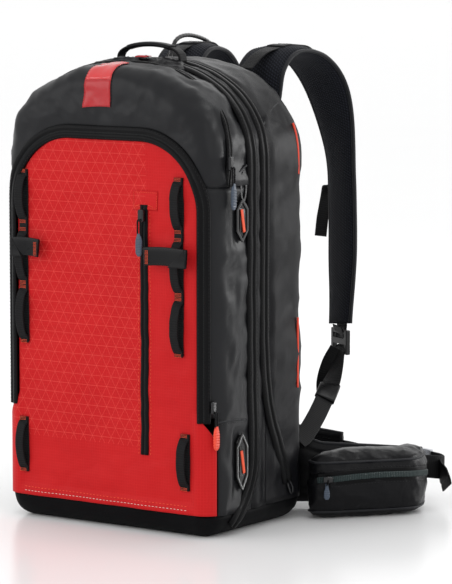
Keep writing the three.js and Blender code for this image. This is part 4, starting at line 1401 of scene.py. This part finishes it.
def hip_pocket():
    levels = [(0.8, 28), (0.8, 18), (1.4, 11)]
    for a in np.radians(np.linspace(-80, 80, 23)):
        z = 38 + 36 * math.sin(a)
        pinch = 1.8 * math.exp(-(((z - 51) / 3.5) ** 2))
        levels.append((z, 12 * (1 - math.cos(a) ** 0.6) - 2.2 + pinch))
    levels += [(75.5, 11), (77.2, 18), (78.2, 28)]
    rings = []
    for z, inset in levels:
        ring, _ = pocket_outline(inset)
        ring[:, 2] = z
        rings.append(ring)
    obj = close_ends(grid_object("hip_pocket_body", np.array(rings), "hip", closed=True))
    obj = wrinkle(inflate(obj, 14.0, 8.0, 4), 1.5, 71)
    place(obj, "hip_belt_right", "hip_pocket")
    ring, out = pocket_outline(0, 160)
    past_corner = (ring - (176, 62, 0)) @ (0.72, 0.69, 0) > -2
    outer_side = (ring - (178, 147, 0)) @ (0.69, -0.72, 0) > 22
    keep = (ring[:, 0] > 172) & past_corner & outer_side
    path, out = ring[keep], out[keep]
    path[:, 2] = 47 + 5 * np.sin(np.linspace(0, math.pi, len(path)))
    path = settle(path, out, obj, 0.4)
    place(sweep("hip_zip_tape_band", path, out, strap_profile(15, 1.6, 0.7), "lip"), "hip_belt_right")
    coil = strap_profile(7.2, 2.6, 1.2)
    place(sweep("hip_zip_coil", path + out * 1.2, out, coil, "hip_coil"), "hip_belt_right")
    for k, dz in enumerate((-9.0, 9.0)):
        rail = settle(path + (0, 0, dz), out, obj, 0.2)
        topstitch(f"hip_zip_stitch_{k}", rail, out, "hip_belt_right", "dark_thread", 4.0, 2.7, 0.8, 0.4)
    for name, z in (("top", 67), ("bottom", 9)):
        ring, outs = pocket_outline(0, 160)
        ring[:, 2] = z
        ring = settle(ring, outs, obj, 0.3)
        cord = strap_profile(3.0, 3.0, 1.4)
        piping = sweep("hip_pocket_piping_" + name, ring, outs, cord, "binding", closed_path=True)
        place(piping, "hip_belt_right")


def hip_puller():
    """The hip zip's slider with its hanging cord and grip, in the space of its CAD solid."""
    low, high = box_mm("hip_zip_slider")
    facing = unit(np.array([0.69, -0.72, 0]))
    along = np.array([0.72, 0.69, 0])
    middle = (low + high) / 2
    back = ((high - low) * np.abs(along)).sum() / 2
    grip_foot = middle - along * (back - 3.5)
    zs = np.linspace(high[2] - 9, low[2], 40)
    path = xyz(grip_foot[0], grip_foot[1], zs) + facing * 2.2
    out = facing
    share = np.linspace(0, 1, 40)
    wide = 3.4 + 3.6 * smoothstep(share, 0.1, 0.6) - 2.6 * smoothstep(share, 0.85, 1)
    thick = 2.6 + 0.5 * np.cos(share * 50) * band(share, 0.25, 0.9)
    profile = np.array([strap_profile(w, t, 1.2) for w, t in zip(wide, thick)])
    grip = sweep("hip_puller_grip", path, out, profile, "slate")
    place(grip, "hip_zip_slider", "hip_zip_slider")
    reach = np.linspace(-5.5, 5.5, 24)
    body = grip_foot + along * 1.5 + facing * 1.6 + (0, 0, high[2] - grip_foot[2] - 4.5)
    rail = body + along * reach[:, None]
    taper = np.array([strap_profile(8.4 - 2.6 * abs(r) / 5.5, 4.2, 1.7) for r in reach])
    shell = sweep("hip_slider_body", rail, facing, taper, "dark_metal")
    place(shell, "hip_zip_slider")
    link = np.array([body + facing * 1.6, body + facing * 3.6 - (0, 0, 2), path[2] + facing * 1.6, path[5]])
    cord = curve_points(link, 24)
    place(sweep("hip_puller_cord", cord, along, strap_profile(2, 2, 0.98), "web"), "hip_zip_slider")


def wrinkle(obj, amount, seed):
    """Folds of loose cloth, up to amount mm high, above the floor."""
    points = np.array([v.co for v in obj.data.vertices]) / MM
    normals = np.array([v.normal for v in obj.data.vertices])
    folds = crease(points * (1, 1, 1.6), 42, seed) + 0.3 * ripple(points, 16, seed + 1) - 0.6
    points += normals * (amount * folds)[:, None]
    points[:, 2] = np.maximum(points[:, 2], 0.4)
    obj.data.vertices.foreach_set("co", (points * MM).astype(np.float32).ravel())
    obj.data.update()
    return obj


def settle(path, out, obj, lift):
    """The path moved along its outward directions on to a piece's surface, smoothed, then lifted off it."""
    tree = BVHTree.FromObject(obj, bpy.context.evaluated_depsgraph_get())
    move = np.zeros(len(path))
    for i, (p, o) in enumerate(zip(path, out)):
        start = Vector((p + o * 25) * MM)
        hit = tree.ray_cast(start, -Vector(o), 0.05)[0]
        if hit is not None:
            move[i] = 25 - (hit - start).length / MM
    smooth = np.convolve(np.pad(move, 3, mode="edge"), np.ones(7) / 7, mode="valid")
    return path + out * (smooth + lift)[:, None]


def inflate(obj, pressure, cap, voxel=5, frames=18):
    """Blows a closed form up like stuffed cloth, by at most cap mm."""
    r = obj.modifiers.new("remesh", "REMESH")
    r.mode = "VOXEL"
    r.voxel_size = voxel * MM
    apply_modifiers(obj)
    rest = np.array([v.co for v in obj.data.vertices])
    c = obj.modifiers.new("cloth", "CLOTH")
    c.settings.effector_weights.gravity = 0
    c.settings.use_pressure = True
    c.settings.uniform_pressure_force = pressure
    c.settings.quality = 6
    c.settings.mass = 0.3
    c.point_cache.frame_start = 1
    c.point_cache.frame_end = frames
    scene = bpy.context.scene
    for f in range(1, frames + 1):
        scene.frame_set(f)
    apply_modifiers(obj)
    now = np.array([v.co for v in obj.data.vertices])
    move = now - rest
    size = np.linalg.norm(move, axis=1, keepdims=True)
    move *= np.minimum(1, cap * MM / np.maximum(size, 1e-9))
    now = rest + move
    now[:, 2] = np.maximum(now[:, 2], 0.4 * MM)
    obj.data.vertices.foreach_set("co", now.astype(np.float32).ravel())
    scene.frame_set(1)
    obj.modifiers.new("smooth", "SUBSURF").levels = 1
    apply_modifiers(obj)
    weave_map(obj)
    for p in obj.data.polygons:
        p.use_smooth = True
    return obj


def weave_map(obj):
    """A flat Weave map in metres, seen along each face's main direction."""
    mesh = obj.data
    layer = mesh.uv_layers.get("Weave") or mesh.uv_layers.new(name="Weave")
    for p in mesh.polygons:
        n = p.normal
        a = max(range(3), key=lambda i: abs(n[i]))
        i, j = [(1, 2), (0, 2), (0, 1)][a]
        for k in p.loop_indices:
            co = mesh.vertices[mesh.loops[k].vertex_index].co
            layer.data[k].uv = (co[i], co[j])


def hip_belt():
    wing_part("right", [(66, 106), (104, 108), (136, 124), (170, 154), (199, 190), (217, 224)], 1)
    wing_part("left", [(-66, 106), (-98, 112), (-112, 146), (-90, 200), (-36, 238), (26, 256), (80, 262)], -1)
    hip_pocket()
    hip_puller()
    webs = {
        "right": [
            (210, 212, 44), (219, 229, 44), (229, 243, 42), (229, 256, 40),
            (217, 268, 40), (203, 274, 40), (190, 277.5, 40),
        ],
        "left": [
            (70, 263, 44), (84, 263, 44), (104, 263, 42), (120, 261, 40), (132, 258, 40), (146, 255, 40),
        ],
    }
    for side, points in webs.items():
        path = curve_points(points, 60)
        along = unit(np.gradient(path, axis=0))
        out = unit(np.cross(along, (0, 0, 1.0)))
        obj = sweep("hip_web_band_" + side, path, out, strap_profile(28, 1.9, 0.9), "web")
        place(obj, "hip_belt_" + side, "hip_web_" + side)
    tail = curve_points([(226, 252, 40), (236, 238, 37), (246, 230, 33), (252, 226, 22)], 24)
    along = unit(np.gradient(tail, axis=0))
    out = unit(np.cross(along, (0, 0, 1.0)))
    place(sweep("hip_web_tail", tail, out, strap_profile(26, 1.8, 0.8), "web"), "hip_belt_right")


# ---------- back panel and inside ----------
PAD_CORNER = 34


def pad_outline(low, high):
    """The rounded rectangle of a pad's edge, 2 mm inside its box, as (x, z) from the box's middle."""
    w, h = (high[0] - low[0]) / 2 - 2, (high[2] - low[2]) / 2 - 2
    bx, bz = w - PAD_CORNER, h - PAD_CORNER
    points = []
    for a in 2 * math.pi * np.arange(160) / 160:
        c, s = math.cos(a), math.sin(a)
        reach = max(abs(c) / w, abs(s) / h)
        px, pz = c / reach, s / reach
        ox, oz = max(abs(px) - bx, 0), max(abs(pz) - bz, 0)
        over = math.hypot(ox, oz)
        if over > PAD_CORNER:
            px = math.copysign(bx + ox * PAD_CORNER / over, px) if ox else px
            pz = math.copysign(bz + oz * PAD_CORNER / over, pz) if oz else pz
        points.append((px, pz))
    return np.array(points)


def back_pads():
    for name, node, columns, rows_at in (
        ("back_pad", "back_panel_pad", (-34, 34), (232, 312, 392)),
        ("lumbar_cushion", "lumbar_pad", (-30, 30), (84,)),
    ):
        low, high = box_mm(node)
        xs = np.linspace(low[0], high[0], 90)
        zs = np.linspace(low[2], high[2], int((high[2] - low[2]) / 2.4))
        gx, gz = np.meshgrid(xs, zs)
        ex = np.minimum(gx - low[0], high[0] - gx)
        ez = np.minimum(gz - low[2], high[2] - gz)
        cx, cz = PAD_CORNER - np.minimum(ex, PAD_CORNER), PAD_CORNER - np.minimum(ez, PAD_CORNER)
        edge = PAD_CORNER - np.hypot(cx, cz)
        height = np.sqrt(np.clip(edge / 16, 0, 1) * (2 - np.clip(edge / 16, 0, 1)))
        for c in columns:
            height *= 1 - 0.62 * np.exp(-(((gx - c) / 5) ** 2))
        for r in rows_at:
            height *= 1 - 0.5 * np.exp(-(((gz - r) / 5) ** 2)) * (np.abs(gx) > 30)
        height *= np.where(np.abs(gx) < 30, 0.62, 1.0)
        depth = high[1] - low[1] - 1
        middle_z = (low[2] + high[2]) / 2
        past = 0.8 * np.clip(-edge, 0, None)
        x, z = gx - np.sign(gx) * past, gz - np.sign(gz - middle_z) * past
        front = xyz(x, low[1] + 0.6 + depth * height, z)
        obj = thicken(grid_object(name, front, "mesh"), 0.6, 0)
        place(obj, "pack", node)
        outline = pad_outline(low, high)
        path = xyz(outline[:, 0], low[1] + 2.2, outline[:, 1] + middle_z)
        tape = strap_profile(5, 4, 1.8)
        place(sweep(name + "_binding", path, (0, 1.0, 0), tape, "binding", closed_path=True), "pack")


def airbag():
    """The folded airbag: a stack of soft pleats in its compartment."""
    low, high = box_mm("airbag_folded")
    middle, half = (low + high) / 2, (high - low) / 2
    rings = []
    for v in np.linspace(-1, 1, 70):
        ring = []
        for k in range(72):
            a = 2 * math.pi * k / 72
            c, s = math.cos(a), math.sin(a)
            pleat = 1 - 0.10 * abs(math.sin(5 * math.pi * v + 0.6 * math.sin(a * 2)))
            shrink = (1 - abs(v) ** 6) ** 0.5 if abs(v) < 1 else 0.02
            x = half[0] * math.copysign(abs(c) ** 0.5, c) * max(shrink, 0.02) * 0.98
            y = half[1] * math.copysign(abs(s) ** 0.7, s) * pleat * max(shrink, 0.02)
            ring.append((middle[0] + x, middle[1] + y, middle[2] + v * half[2] * 0.98))
        rings.append(ring)
    obj = close_ends(grid_object("airbag_pleats", np.array(rings), "airbag", closed=True))
    place(obj, "pack", "airbag_folded")


# ---------- camera, light and floor ----------
def studio():
    camera = bpy.data.objects.new("camera", bpy.data.cameras.new("camera"))
    bpy.context.scene.collection.objects.link(camera)
    camera.data.lens = 196
    camera.data.sensor_width = 36
    camera.location = Vector((2183, -2993, 700)) * MM
    aim = Vector((59, 41, 262)) * MM - camera.location
    camera.rotation_euler = aim.to_track_quat("-Z", "Y").to_euler()
    camera.data.clip_end = 400
    bpy.context.scene.camera = camera
    world = bpy.data.worlds.new("studio")
    world.use_nodes = True
    world.node_tree.nodes["Background"].inputs[0].default_value = (1, 1, 1, 1)
    world.node_tree.nodes["Background"].inputs[1].default_value = 1.02
    bpy.context.scene.world = world
    bpy.context.scene.view_settings.view_transform = "Standard"
    lights = (
        ("key", (-1.7, -2.4, 1.2), 1.5, 18, True),
        ("side", (2.4, -0.7, 1.3), 1.2, 5, True),
        ("top", (0.2, -0.2, 2.6), 1.4, 3, True),
        ("back", (-0.6, 2.4, 1.6), 1.8, 8, True),
        ("rim", (1.9, 2.3, 0.75), 0.7, 34, False),
        ("crown", (0.9, 1.3, 2.3), 0.6, 9, False),
    )
    # The last two give highlights on the blacks without lighting matt cloth.
    for name, at, size, power, on_matt in lights:
        lamp = bpy.data.lights.new(name, "AREA")
        lamp.energy = power
        lamp.size = size
        obj = bpy.data.objects.new(name, lamp)
        obj.location = at
        obj.rotation_euler = (Vector((0.03, 0, 0.28)) - Vector(at)).to_track_quat("-Z", "Y").to_euler()
        obj.visible_diffuse = on_matt
        bpy.context.scene.collection.objects.link(obj)
    mesh = bpy.data.meshes.new("floor")
    r = 90.0
    mesh.from_pydata([(-r, -r, 0), (r, -r, 0), (r, r, 0), (-r, r, 0)], [], [(0, 1, 2, 3)])
    floor = bpy.data.objects.new("floor", mesh)
    bpy.context.scene.collection.objects.link(floor)
    m = Material("floor", (0.95, 0.95, 0.95), 0.22)
    m.tint(m.noise(3.0, 2.0), (0.935, 0.935, 0.94), 1.0)
    mesh.materials.append(m.mat)


studio()
build_body()
front_fabric()
front_zips()
side_zips()
front_webbing()
hood_stripe()
top_flap()
port_tags()
zip_patch()
hard_parts()
harness()
hip_belt()
back_pads()
airbag()

bpy.context.view_layer.update()
